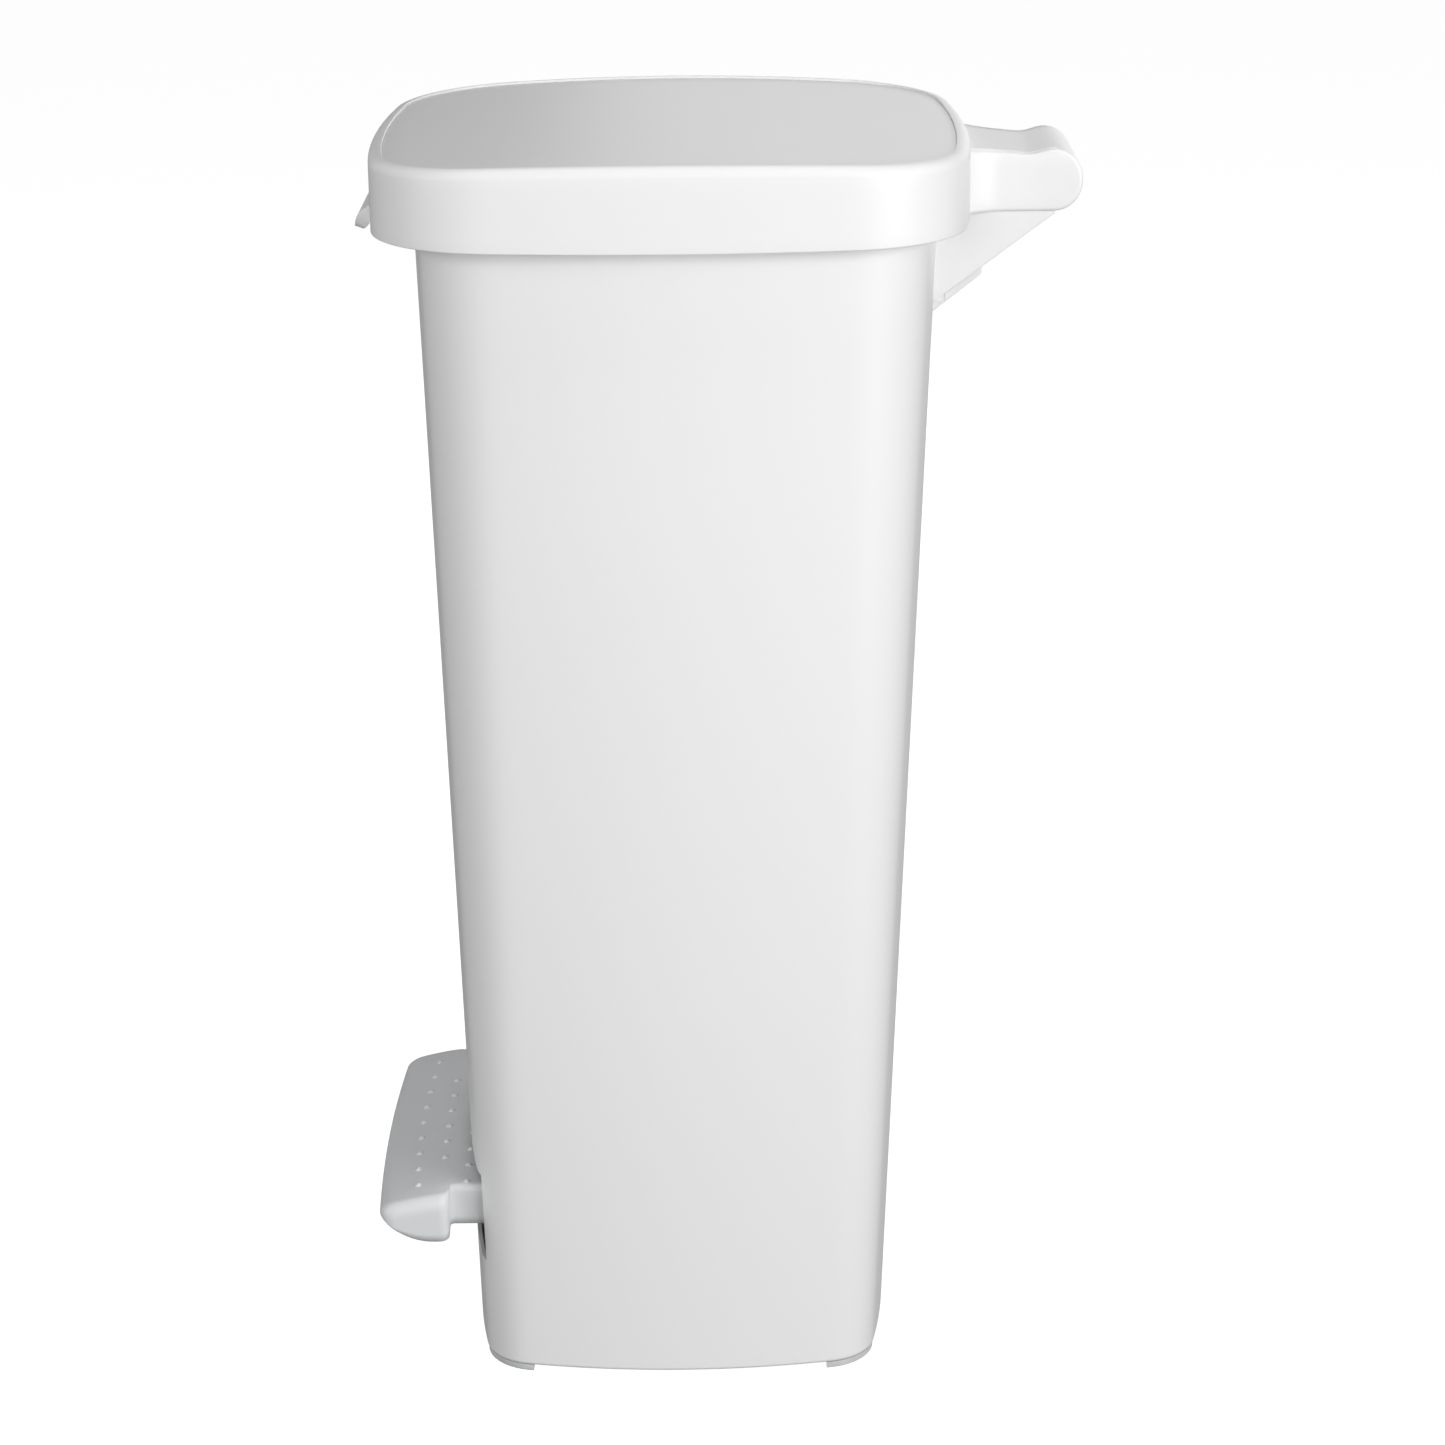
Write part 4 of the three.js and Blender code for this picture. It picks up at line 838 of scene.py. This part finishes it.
def lid_rear_y():
    """Y of the lid's skirt at the rear, in the middle."""
    s = bpy.context.scene.pedal_bin.lid
    return MIDDLE_Y - s.forward + s.half_y


def arm_end(stop, steps):
    """The arm's rounded end, an ellipse about the hinge from its top down to an angle in degrees."""
    s = bpy.context.scene.pedal_bin.lid
    angle = np.radians(np.linspace(90, stop, steps + 1))
    y = HINGE_Y + s.arm_end_y * np.cos(angle)
    return np.stack((y, HINGE_Z + s.arm_end_z * np.sin(angle)), axis=-1)


def flared(points, scale=False):
    """Widens the arm's root in a concave curve: f ((r - y) / l)² outwards, for y short of r."""
    s = bpy.context.scene.pedal_bin.lid
    reach, inside = 20 * MM, 3 * MM
    root = lid_rear_y() + reach - inside
    widen = s.arm_flare * np.clip((root - points[:, 1]) / reach, 0, None) ** 2
    share = points[:, 0] / (s.arm_half - s.arm_edge) if scale else np.sign(points[:, 0])
    points[:, 0] += share * widen
    return points


def arm_side_part(side):
    """One side wall of the arm: its outline in Y and Z, with a rounded outer edge.

    The outline's upper and lower halves have matching points, and the faces are ruled between
    them, so that the root can curve outwards smoothly.
    """
    s = bpy.context.scene.pedal_bin.lid
    top = arm_top_path()
    upper = np.concatenate((top, arm_end(0, 12)[1:]))
    lower_end = arm_end(-90, 24)[12:][::-1]
    bottom_z = HINGE_Z - s.arm_end_z
    bottom = np.stack((top[:-1, 0], np.full(len(top) - 1, bottom_z)), axis=-1)
    lower = np.concatenate((bottom, lower_end))
    loop = np.concatenate((upper, lower[-2::-1]))
    angle = np.linspace(0, math.pi / 2, 5)
    outer, inner = s.arm_half, s.arm_half - s.wall
    count = len(upper)

    def halves(distance):
        drawn = inward(loop, -distance, closed=False)
        return drawn[:count], drawn[count - 1 :][::-1]

    def rim(a, half):
        path = halves(s.arm_edge * (1 - np.sin(a)))[half]
        return path, outer - s.arm_edge * (1 - np.cos(a))

    face_up, face_down = halves(s.arm_edge)
    shares = np.linspace(0, 1, 7)
    back = [(lower + (upper - lower) * t, inner) for t in shares]
    face = [(face_up + (face_down - face_up) * t, outer) for t in shares[1:-1]]
    over = [rim(a, 0) for a in angle[::-1]]
    under = [rim(a, 1) for a in angle]
    sections = [*back, *over, *face, *under]
    flat = np.stack([path for path, _ in sections])
    x = np.stack([np.full(count, side * level) for _, level in sections])[..., None]
    points, faces = grid_part(np.concatenate((x, flat), axis=-1), close_rows=True)
    ends = (np.arange(len(sections)) * count).tolist()
    return flared(points), faces + [ends]


def arm_top_part():
    """The arm's top wall and end cap: a strip from the lid over the hinge to the cap's edge."""
    s = bpy.context.scene.pedal_bin.lid
    cap, top_thick, steps = 11.7 * MM, 6 * MM, 12
    top = arm_top_path()
    outer = np.concatenate((top, arm_end(3, steps)[1:]))
    roof = HINGE_Z + s.arm_end_z - top_thick
    rise = math.degrees(math.asin((roof - HINGE_Z) / cap))
    meet = HINGE_Y + cap * math.cos(math.radians(rise))
    ys = np.linspace(top[0, 0], meet, len(top))
    inner = np.concatenate((
        np.stack((ys, np.full_like(ys, roof)), -1),
        round_turn((HINGE_Y, HINGE_Z), cap, rise, 3, steps)[1:],
    ))
    half = s.arm_half - s.arm_edge
    points, faces = ribbon_part(outer, inner, np.linspace(-half, half, 9))
    return flared(points, scale=True), faces


def finger_tab_part():
    """The finger tab: a lug under the lid's front edge with rounded lower corners.

    Its front and rear are bends a (1 - t)² + 2 b t (1 - t) + c t². Its half width is
    h - r (1 - √(1 - ((l + r - z) / r)²)) within r of its lip, and h above.
    """
    s = bpy.context.scene.pedal_bin.lid
    front, skirt = lid_front_y(), LID_TOP_Z - s.height
    lip_y, lip_z = LID_LOW.y, LID_LOW.z
    lip, corner = 2.5 * MM, 5 * MM
    t = np.linspace(0, 1, 13)[:, None]

    def bend(start, middle, stop):
        start, middle, stop = map(np.array, (start, middle, stop))
        return (1 - t) ** 2 * start + 2 * t * (1 - t) * middle + t**2 * stop

    outer_root = (front + 0.2 * MM, skirt + 5 * MM)
    outer_pull = (lip_y + 0.5 * MM, skirt + lip)
    inner_root = (front + 2.2 * MM, skirt + 4 * MM)
    inner_pull = (front + 1.5 * MM, skirt - 4 * MM)
    outer = bend(outer_root, outer_pull, (lip_y, lip_z + lip))
    inner = bend(inner_root, inner_pull, (lip_y + 4 * MM, lip_z))
    points, faces = ribbon_part(outer, inner, np.linspace(-1, 1, 17))
    reach = np.clip((lip_z + corner - points[:, 2]) / corner, 0, 1)
    points[:, 0] *= s.tab_half - corner * (1 - np.sqrt(1 - reach**2))
    return points, faces


def rectangle(low, high):
    """The corners of a rectangle."""
    return np.array([(low[0], low[1]), (high[0], low[1]), (high[0], high[1]), (low[0], high[1])])


def lid_fitting_parts():
    """The pad that the rod's shoe pushes, and the two ribs that land on the rim's buffers."""
    s = bpy.context.scene.pedal_bin.lid
    pad_half_y, pad_half_x, pad_edge = 6 * MM, 7 * MM, 0.6 * MM
    rib_half, rib_edge, rib_inside, rib_drop = 1.5 * MM, 0.4 * MM, 3.5 * MM, 10.5 * MM
    roof = HINGE_Z + s.arm_end_z - 5.5 * MM
    pad = rectangle((SHOE_Y - pad_half_y, SHOE_HIGH.z + CLEARANCE), (SHOE_Y + pad_half_y, roof))
    parts = [slab_part(pad, -pad_half_x, pad_half_x, pad_edge)]
    for name in ("lid_buffer_left", "lid_buffer_right"):
        low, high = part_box(name)
        middle = (low.x + high.x) / 2
        foot = (lid_front_y() + rib_inside, high.z + CLEARANCE)
        rib = rectangle(foot, (high.y, LID_TOP_Z - rib_drop))
        parts.append(slab_part(rib, middle - rib_half, middle + rib_half, rib_edge))
    return parts


# ---------------------------------------------------------------- bracket

def bracket_parts():
    """The hinge bracket: two gussets with round eyes, a plate on the rear wall and a web."""
    s = bpy.context.scene.pedal_bin.casing
    outer_x, slot, rod_low = BRACKET_HIGH.x, s.rod_half, s.rod_low
    thick, eye, soft, face_depth = 3.3 * MM, 9.5 * MM, 0.7 * MM, 3 * MM
    toe_drop, plate_drop, plate_height, top_reach = 17.9 * MM, 1 * MM, 44.5 * MM, 19.5 * MM
    web_reach, web_depth, web_half, web_nose = 26 * MM, 9 * MM, 20 * MM, 2 * MM
    toe_z = HINGE_Z - toe_drop
    plate_top = toe_z - plate_drop
    foot_z = plate_top - plate_height
    foot_y = rear_wall(foot_z)
    root, wall = foot_y - 1.5 * MM, foot_y - 1 * MM
    gusset = np.concatenate((
        [(root, foot_z - 1 * MM), (HINGE_Y - 0.5 * MM, toe_z - 0.5 * MM)],
        [(HINGE_Y + 0.5 * MM, toe_z)],
        round_turn((HINGE_Y, HINGE_Z), eye, -84, 125, 16),
        [(rear_wall(RIM_Z) + top_reach, plate_top + eye), (root, plate_top)],
    ))
    parts = []
    for side in (-1, 1):
        xs = sorted((side * outer_x, side * (outer_x - thick)))
        parts.append(slab_part(gusset, xs[0], xs[1], soft))
    edge_x = outer_x - soft
    plate = np.array([
        (foot_z, -edge_x), (plate_top, -edge_x), (plate_top, -slot), (rod_low, -slot),
        (rod_low, slot), (plate_top, slot), (plate_top, edge_x), (foot_z, edge_x),
    ])
    parts.append(slab_part(plate[::-1], wall, rear_wall(plate_top) + face_depth, soft, axis=1))
    rise = (toe_z - foot_z) / (HINGE_Y - foot_y) * web_reach
    under = foot_z - web_depth
    web = np.array([
        (wall, under), (wall + web_reach - web_nose / 2, under + rise),
        (wall + web_reach, under + rise + web_nose),
        (wall + web_reach, foot_z + rise - web_nose), (wall, foot_z + web_nose),
    ])
    parts.append(slab_part(web, -web_half, web_half, soft))
    return parts


# ---------------------------------------------------------------- pedal

def pedal_top(ahead):
    """Height of the pedal's top: flat, then falling a d + b d² past the start of its slope.

    With p the way past the start and w a short blend, d = (p + √(p² + w²)) / 2.
    """
    start, blend, fall, curve = 14.8 * MM, 4 * MM, 0.155, 2.5
    past = ahead - start
    d = (past + np.sqrt(past**2 + blend**2)) / 2
    return PEDAL_HIGH.z - fall * d - curve * d**2


def pedal_hem(ahead, half):
    """Height of the pedal's lower edge: the neck's, then a belly that rises as b d² to the front."""
    s = bpy.context.scene.pedal_bin.pedal
    start, curve, behind = 17 * MM, 16.5, 5 * MM
    belly = PEDAL_LOW.z + curve * np.clip(ahead - start, 0, None) ** 2
    turn = np.clip((half - s.neck_half) / (PEDAL_HIGH.x - s.neck_half), 0, 1)
    turn = turn * turn * (3 - 2 * turn)
    turn = np.where(ahead > s.skirt_back + behind, 1.0, turn)
    return (PEDAL_HIGH.z - s.neck_depth) * (1 - turn) + belly * turn


def pedal_edge():
    """Half of the pedal's outline, as x, distance ahead of the casing, and the way inwards.

    It runs along the neck, out through a tight hollow, round the skirt's rear and along its side,
    round the front corner and along the bowed front edge, ahead = reach - bow (x / half)².
    """
    s = bpy.context.scene.pedal_bin.pedal
    half, neck = PEDAL_HIGH.x, s.neck_half
    hollow, shoulder = 2.5 * MM, 5.5 * MM
    reach = front_wall_y() - PEDAL_LOW.y
    corner_x = half - s.corner
    edge = reach - s.bow * (corner_x / half) ** 2
    slope = math.degrees(math.atan(2 * s.bow * corner_x / half**2))
    front_x = np.linspace(corner_x + s.corner * math.sin(math.radians(slope)), 0, 25)[1:]
    runs = (
        straight((neck, -s.neck_inside), (neck, s.skirt_back - hollow), 6)[:-1],
        round_turn((neck + hollow, s.skirt_back - hollow), hollow, 180, 90, 5),
        round_turn((half - shoulder, s.skirt_back + shoulder), shoulder, 270, 360, 6)[:-1],
        straight((half, s.skirt_back + shoulder), (half, edge - s.corner), 8)[:-1],
        round_turn((corner_x, edge - s.corner), s.corner, 0, 90 - slope, 8),
        np.stack((front_x, reach - s.bow * (front_x / half) ** 2), axis=-1),
    )
    outline = np.concatenate(runs)
    away = outline - (corner_x, edge - s.corner)
    side = np.arctan2(np.maximum(away[:, 1], 0), np.maximum(away[:, 0], 0))
    return outline, -np.stack((np.cos(side), np.sin(side)), axis=-1)


def front_wall_y():
    """Y of the casing's front wall in the middle, at the pedal's height."""
    neck_middle = 11.5 * MM
    plan = casing_plan(PEDAL_HIGH.z - neck_middle)
    return plan["middle_y"] - plan["half_y"]


def pedal_skin():
    """The pedal's outer skin: sections from one lower edge over the top to the other.

    A section goes up from the hem, over the fold as a quarter of an ellipse, narrower than it is
    high, and straight across to its mirror image; the sections follow half of the outline.
    """
    s = bpy.context.scene.pedal_bin.pedal
    fold_width, fold_most = 0.7, 0.78
    outline, way = pedal_edge()
    hem = pedal_hem(outline[:, 1], outline[:, 0])
    crest = pedal_top(outline[:, 1])
    on_neck = outline[:, 1] < s.skirt_back
    fold = np.where(on_neck, s.fold / 2, s.fold)
    drop = np.minimum(fold, fold_most * (crest - hem))
    fold = np.minimum(fold, np.maximum(outline[:, 0], 0) + fold * np.abs(way[:, 1]))
    columns = []
    for t in np.linspace(0, 1, 5)[:-1]:
        z = hem + (crest - drop - hem) * t
        columns.append(np.stack((outline[:, 0], outline[:, 1], z), axis=-1))
    for a in np.linspace(0, math.pi / 2, 8):
        place = outline + way * (fold_width * fold * (1 - np.cos(a)))[:, None]
        place[:, 0] = np.maximum(place[:, 0], 0)
        z = pedal_top(place[:, 1]) - drop * (1 - np.sin(a))
        columns.append(np.concatenate((place, z[:, None]), axis=-1))
    last = columns[-1]
    for t in np.linspace(1, 0, 8)[1:]:
        columns.append(last * (t, 1, 1))
    half = np.stack(columns, axis=1)
    whole = np.concatenate((half, half[:, -2::-1] * (-1, 1, 1)), axis=1)
    whole[..., 1] = front_wall_y() - whole[..., 1]
    return grid_part(whole)


def grip_dots():
    """Three rows of low domes: z = h (1 - (r / R)²), drawn on rings and set along the pedal.

    A row is its dots' places in steps of the pitch, its way ahead of the casing, and its bow.
    """
    s = bpy.context.scene.pedal_bin.pedal
    pitch = s.dot_pitch
    odd, even = np.arange(-4, 5), np.arange(-3, 3) + 0.5
    rows = ((odd, 29 * MM, 3 * MM), (even, 13.6 * MM, 1 * MM), (odd, -0.9 * MM, 0.0))
    share = np.array([1.12, 1.0, 0.8, 0.5, 0.2, 0.0])
    turn = np.linspace(0, 2 * math.pi, 14, endpoint=False)
    parts = []
    for places, ahead, bow in rows:
        aheads = ahead - bow * (places / 4) ** 2
        for x, a in zip(places * pitch, aheads):
            dx = s.dot_radius * share[:, None] * np.cos(turn)
            dy = s.dot_radius * share[:, None] * np.sin(turn)
            z = pedal_top(a - dy) + s.dot_height * (1 - share[:, None] ** 2)
            dot = np.stack((x + dx, front_wall_y() - a + dy, z), axis=-1)
            parts.append(grid_part(dot, close_columns=True))
    return parts


# ---------------------------------------------------------------- rod and screws

def rod_path():
    """The push rod's route in Y and Z: up beside the rear wall, through it and up to its shoe."""
    radius, gap, bend = 2.5 * MM, 8.5 * MM, 6 * MM
    crank_z = 612 * MM
    foot = np.array((rear_wall(ROD_LOW.z, gap), ROD_LOW.z))
    crank = np.array((rear_wall(crank_z, gap), crank_z))
    turn = np.array((SHOE_Y, crank_z))
    tip = np.array((turn[0], ROD_HIGH.z))
    pieces = [straight(foot, crank - (crank - foot) / np.linalg.norm(crank - foot) * bend, 24)]
    for before, at, after in ((foot, crank, turn), (crank, turn, tip)):
        way_in = (before - at) / np.linalg.norm(before - at)
        way_out = (after - at) / np.linalg.norm(after - at)
        t = np.linspace(0, 1, 9)[:, None]
        start, stop = at + way_in * bend, at + way_out * bend
        pieces.append((1 - t) ** 2 * start + 2 * t * (1 - t) * at + t**2 * stop)
    pieces.append(straight(turn + (0, bend), tip, 6))
    path = np.concatenate(pieces)
    fresh = np.r_[True, np.linalg.norm(np.diff(path, axis=0), axis=1) > MERGE]
    return path[fresh], radius


SCREW_HEAD_HEIGHT = 2.2 * MM


def screw_part(seat, way, shank):
    """A pan-head screw turned about its axis, with a six-lobed socket: r (1 + 0.16 cos 6a) inside.

    A row of its profile is a share of the head's radius, a height in millimetres, and whether
    the ring is lobed.
    """
    head, stem = 3.9 * MM, 1.9 * MM
    profile = np.array([
        (0, 0.9, 0), (0.30, 0.9, 1), (0.42, 1.0, 1), (0.44, 2.12, 1), (0.58, 2.2, 0),
        (0.74, 2.1, 0), (0.9, 1.7, 0), (0.98, 1.1, 0), (1.0, 0.3, 0), (0.97, 0, 0),
    ]) * (head, MM, 0.16)
    stem_rows = [(stem, 0, 0), (stem, -shank + stem, 0), (stem / 4, -shank, 0), (0, -shank, 0)]
    r, h, lobe = np.concatenate((profile, stem_rows)).T
    turn = np.linspace(0, 2 * math.pi, 48, endpoint=False)
    radius = r[:, None] * (1 + lobe[:, None] * np.cos(6 * turn))
    height = np.broadcast_to(h[:, None], radius.shape)
    upright = np.stack((radius * np.cos(turn), radius * np.sin(turn), height), axis=-1)
    turned = upright @ np.array(Vector((0, 0, 1)).rotation_difference(Vector(way)).to_matrix()).T
    return grid_part(turned + np.array(seat), close_columns=True)


# ---------------------------------------------------------------- operators

class PEDALBIN_OT_casing(bpy.types.Operator):
    """Make the tapered outer casing"""

    bl_idname = "pedal_bin.casing"
    bl_label = "Outer casing"

    def execute(self, context):
        parts, shell = casing_parts(), finish("shell")
        make_piece("casing_shell", parts, "base", "shell_pp", shell, "outer_casing", edge=SOFT_EDGE)
        return {"FINISHED"}


class PEDALBIN_OT_feet(bpy.types.Operator):
    """Make the four rubber corner feet"""

    bl_idname = "pedal_bin.feet"
    bl_label = "Feet"

    def execute(self, context):
        rubber = finish("rubber")
        for end_name, end in (("front", -1), ("rear", 1)):
            for side_name, side in (("left", -1), ("right", 1)):
                place, parts = f"{end_name}_{side_name}", [foot_part(side, end)]
                name, node = f"corner_foot_{place}", f"foot_{place}"
                make_piece(name, parts, "base", "foot_rubber", rubber, node)
        return {"FINISHED"}


class PEDALBIN_OT_bucket(bpy.types.Operator):
    """Make the lift-out bucket"""

    bl_idname = "pedal_bin.bucket"
    bl_label = "Bucket"

    def execute(self, context):
        parts, plastic = bucket_parts(), finish("bucket")
        make_piece(
            "waste_bucket", parts, "bucket", "bucket_pp", plastic, "inner_bucket", edge=SOFT_EDGE
        )
        return {"FINISHED"}


class PEDALBIN_OT_lid(bpy.types.Operator):
    """Make the lid with its arm and finger tab, and its top panel"""

    bl_idname = "pedal_bin.lid"
    bl_label = "Lid"

    def execute(self, context):
        arm = [arm_side_part(-1), arm_side_part(1), arm_top_part()]
        parts = lid_shell_parts() + arm + [finger_tab_part()] + lid_fitting_parts()
        shell = finish("shell")
        make_piece("lid_body", parts, "lid", "shell_pp", shell, "lid_shell")
        make_piece("lid_panel", [panel_part()], "lid", "shell_pp", shell, "lid_top_panel")
        return {"FINISHED"}


class PEDALBIN_OT_bracket(bpy.types.Operator):
    """Make the hinge bracket on the rear wall"""

    bl_idname = "pedal_bin.bracket"
    bl_label = "Hinge bracket"

    def execute(self, context):
        shell = finish("shell")
        make_piece("rear_bracket", bracket_parts(), "base", "shell_pp", shell, "hinge_bracket")
        return {"FINISHED"}


class PEDALBIN_OT_pedal(bpy.types.Operator):
    """Make the pedal's plate with its grip dots"""

    bl_idname = "pedal_bin.pedal"
    bl_label = "Pedal"

    def execute(self, context):
        wall, plastic = context.scene.pedal_bin.pedal.wall, finish("pedal")
        make_piece(
            "pedal_cover", [pedal_skin()], "pedal", "pedal_pp", plastic, "pedal_plate", wall=wall
        )
        make_piece("pedal_grip_dots", grip_dots(), "pedal", "pedal_pp", plastic, "pedal_plate")
        return {"FINISHED"}


class PEDALBIN_OT_rod(bpy.types.Operator):
    """Make the bent push rod"""

    bl_idname = "pedal_bin.rod"
    bl_label = "Push rod"

    def execute(self, context):
        parts, steel = [tube_part(*rod_path())], finish("steel")
        make_piece("lift_rod", parts, "rod", "steel", steel, "push_rod")
        return {"FINISHED"}


class PEDALBIN_OT_screws(bpy.types.Operator):
    """Make the screws of the bracket, the bearing blocks and the pedal"""

    bl_idname = "pedal_bin.screws"
    bl_label = "Screws"

    def execute(self, context):
        head, steel = SCREW_HEAD_HEIGHT, finish("steel")
        for node in sorted(frame["nodes"]):
            if "_screw_" not in node:
                continue
            low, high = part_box(node)
            seat = (low + high) / 2
            axis, sign = (1, 1) if node.startswith("bracket") else (2, -1)
            way = Vector((0, 0, 0))
            way[axis] = sign
            seat[axis] = high[axis] - head if sign > 0 else low[axis] + head
            shank = high[axis] - low[axis] - head
            body, name = frame["nodes"][node]["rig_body"], node.replace("screw", "fixing")
            make_piece(name, [screw_part(seat, way, shank)], body, "steel", steel, node)
        return {"FINISHED"}


class PEDALBIN_OT_fittings(bpy.types.Operator):
    """Give the fittings that keep their CAD shape their real finishes"""

    bl_idname = "pedal_bin.fittings"
    bl_label = "Fittings"

    def execute(self, context):
        wanted = {
            "shell": ("base_plate",),
            "rubber": ("lid_buffer_left", "lid_buffer_right", "slot_buffer"),
            "steel": ("hinge_pin", "pivot_pin", "pedal_lever"),
            "nylon": (
                *("hinge_bush_left", "hinge_bush_right", "pivot_block_left", "pivot_block_right"),
                *("rod_shoe", "rod_guide_1", "rod_guide_2", "rod_guide_3"),
            ),
        }
        for key, nodes in wanted.items():
            for node in nodes:
                piece = frame["nodes"][node]
                if not piece.material_slots:
                    piece.data.materials.append(None)
                for place in piece.material_slots:
                    place.material = finish(key)
        return {"FINISHED"}


class PEDALBIN_OT_stage(bpy.types.Operator):
    """Set the floor, the soft lights and the camera"""

    bl_idname = "pedal_bin.stage"
    bl_label = "Studio"

    def execute(self, context):
        scene = context.scene
        scene.view_settings.view_transform = "Standard"
        half_floor, air_light = 30, 0.12
        x = np.linspace(-half_floor, half_floor, 9)
        flat = np.stack(np.broadcast_arrays(x[:, None], x[None, :], 0.0), axis=-1)
        points, faces = grid_part(flat)
        mesh = bpy.data.meshes.new("studio_floor")
        mesh.from_pydata(points, [], faces)
        mesh.materials.append(finish("floor"))
        floor = bpy.data.objects.new("studio_floor", mesh)
        floor.visible_diffuse = floor.visible_glossy = False
        scene.collection.objects.link(floor)
        world = bpy.data.worlds.new("studio_air")
        world.use_nodes = True
        tree = world.node_tree
        ray = add_node(tree, "ShaderNodeLightPath").outputs["Is Camera Ray"]
        glow = add_node(tree, "ShaderNodeMapRange", {"To Min": air_light, "To Max": 1.0}, {"Value": ray})
        tree.links.new(glow.outputs["Result"], tree.nodes["Background"].inputs["Strength"])
        tree.nodes["Background"].inputs["Color"].default_value = (1, 1, 1, 1)
        scene.world = world
        aim = Vector((0, 0, (CAD_BOX[0][2] + CAD_BOX[1][2]) / 2))
        lamps = (
            ("key_softbox", (1.7, 1.9, 0.9), 1.4, 48),
            ("side_softbox", (2.3, -0.3, 1.0), 1.4, 16),
            ("front_softbox", (1.0, -2.1, 0.9), 1.4, 16),
            ("far_softbox", (-2.2, 0.6, 0.9), 1.6, 12),
            ("top_softbox", (0.1, 0.0, 2.4), 1.2, 10),
        )
        for name, place, size, power in lamps:
            lamp = bpy.data.lights.new(name, "AREA")
            lamp.size, lamp.energy = size, power
            light = bpy.data.objects.new(name, lamp)
            light.location = place
            light.rotation_euler = (aim - Vector(place)).to_track_quat("-Z", "Y").to_euler()
            scene.collection.objects.link(light)
        self.add_camera(scene)
        return {"FINISHED"}

    def add_camera(self, scene):
        """The camera: near the +X side, looking back and down, a hair out of level."""
        place = Vector((1.943218, 0.007218, 0.993094))
        pitch, roll, heading = 0.3234, -0.010595, -0.00275
        right = Vector((math.sin(heading), math.cos(heading), 0))
        ahead = Vector((
            -math.cos(heading) * math.cos(pitch),
            math.sin(heading) * math.cos(pitch),
            -math.sin(pitch),
        ))
        up = right.cross(ahead)
        rolled_right = math.cos(roll) * right + math.sin(roll) * up
        rolled_up = -math.sin(roll) * right + math.cos(roll) * up
        data = bpy.data.cameras.new("studio_camera")
        data.sensor_width, data.lens = 36, 92.58
        camera = bpy.data.objects.new("studio_camera", data)
        turn = Matrix((rolled_right, rolled_up, -ahead)).transposed()
        camera.matrix_world = Matrix.Translation(place) @ turn.to_4x4()
        scene.collection.objects.link(camera)
        scene.camera = camera


OPERATORS = (
    PEDALBIN_OT_casing,
    PEDALBIN_OT_feet,
    PEDALBIN_OT_bucket,
    PEDALBIN_OT_lid,
    PEDALBIN_OT_bracket,
    PEDALBIN_OT_pedal,
    PEDALBIN_OT_rod,
    PEDALBIN_OT_screws,
    PEDALBIN_OT_fittings,
    PEDALBIN_OT_stage,
)


class PedalBinSettings(bpy.types.PropertyGroup):
    """All the sizes and colours of the bin."""

    casing: PointerProperty(type=CasingSizes)
    bucket: PointerProperty(type=BucketSizes)
    lid: PointerProperty(type=LidSizes)
    pedal: PointerProperty(type=PedalSizes)
    colours: PointerProperty(type=BinColours)


class PEDALBIN_PT_panel(bpy.types.Panel):
    """Lists the sizes, the colours and the operators"""

    bl_idname = "PEDALBIN_PT_panel"
    bl_label = "Pedal Bin"
    bl_space_type = "VIEW_3D"
    bl_region_type = "UI"
    bl_category = "Pedal Bin"

    def draw(self, context):
        settings = context.scene.pedal_bin
        for group in ("casing", "bucket", "lid", "pedal", "colours"):
            box = self.layout.box()
            box.label(text=group.capitalize())
            sizes = getattr(settings, group)
            for key in sizes.__annotations__:
                box.prop(sizes, key)
        for operator in OPERATORS:
            self.layout.operator(operator.bl_idname)


CLASSES = (
    CasingSizes,
    BucketSizes,
    LidSizes,
    PedalSizes,
    BinColours,
    PedalBinSettings,
    *OPERATORS,
    PEDALBIN_PT_panel,
)


def register():
    for cls in CLASSES:
        bpy.utils.register_class(cls)
    bpy.types.Scene.pedal_bin = PointerProperty(type=PedalBinSettings)


def unregister():
    del bpy.types.Scene.pedal_bin
    for cls in reversed(CLASSES):
        bpy.utils.unregister_class(cls)


def main():
    """Registers the add-on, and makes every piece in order."""
    register()
    for operator in OPERATORS:
        group, name = operator.bl_idname.split(".")
        getattr(getattr(bpy.ops, group), name)()


if __name__ == "__main__":
    main()
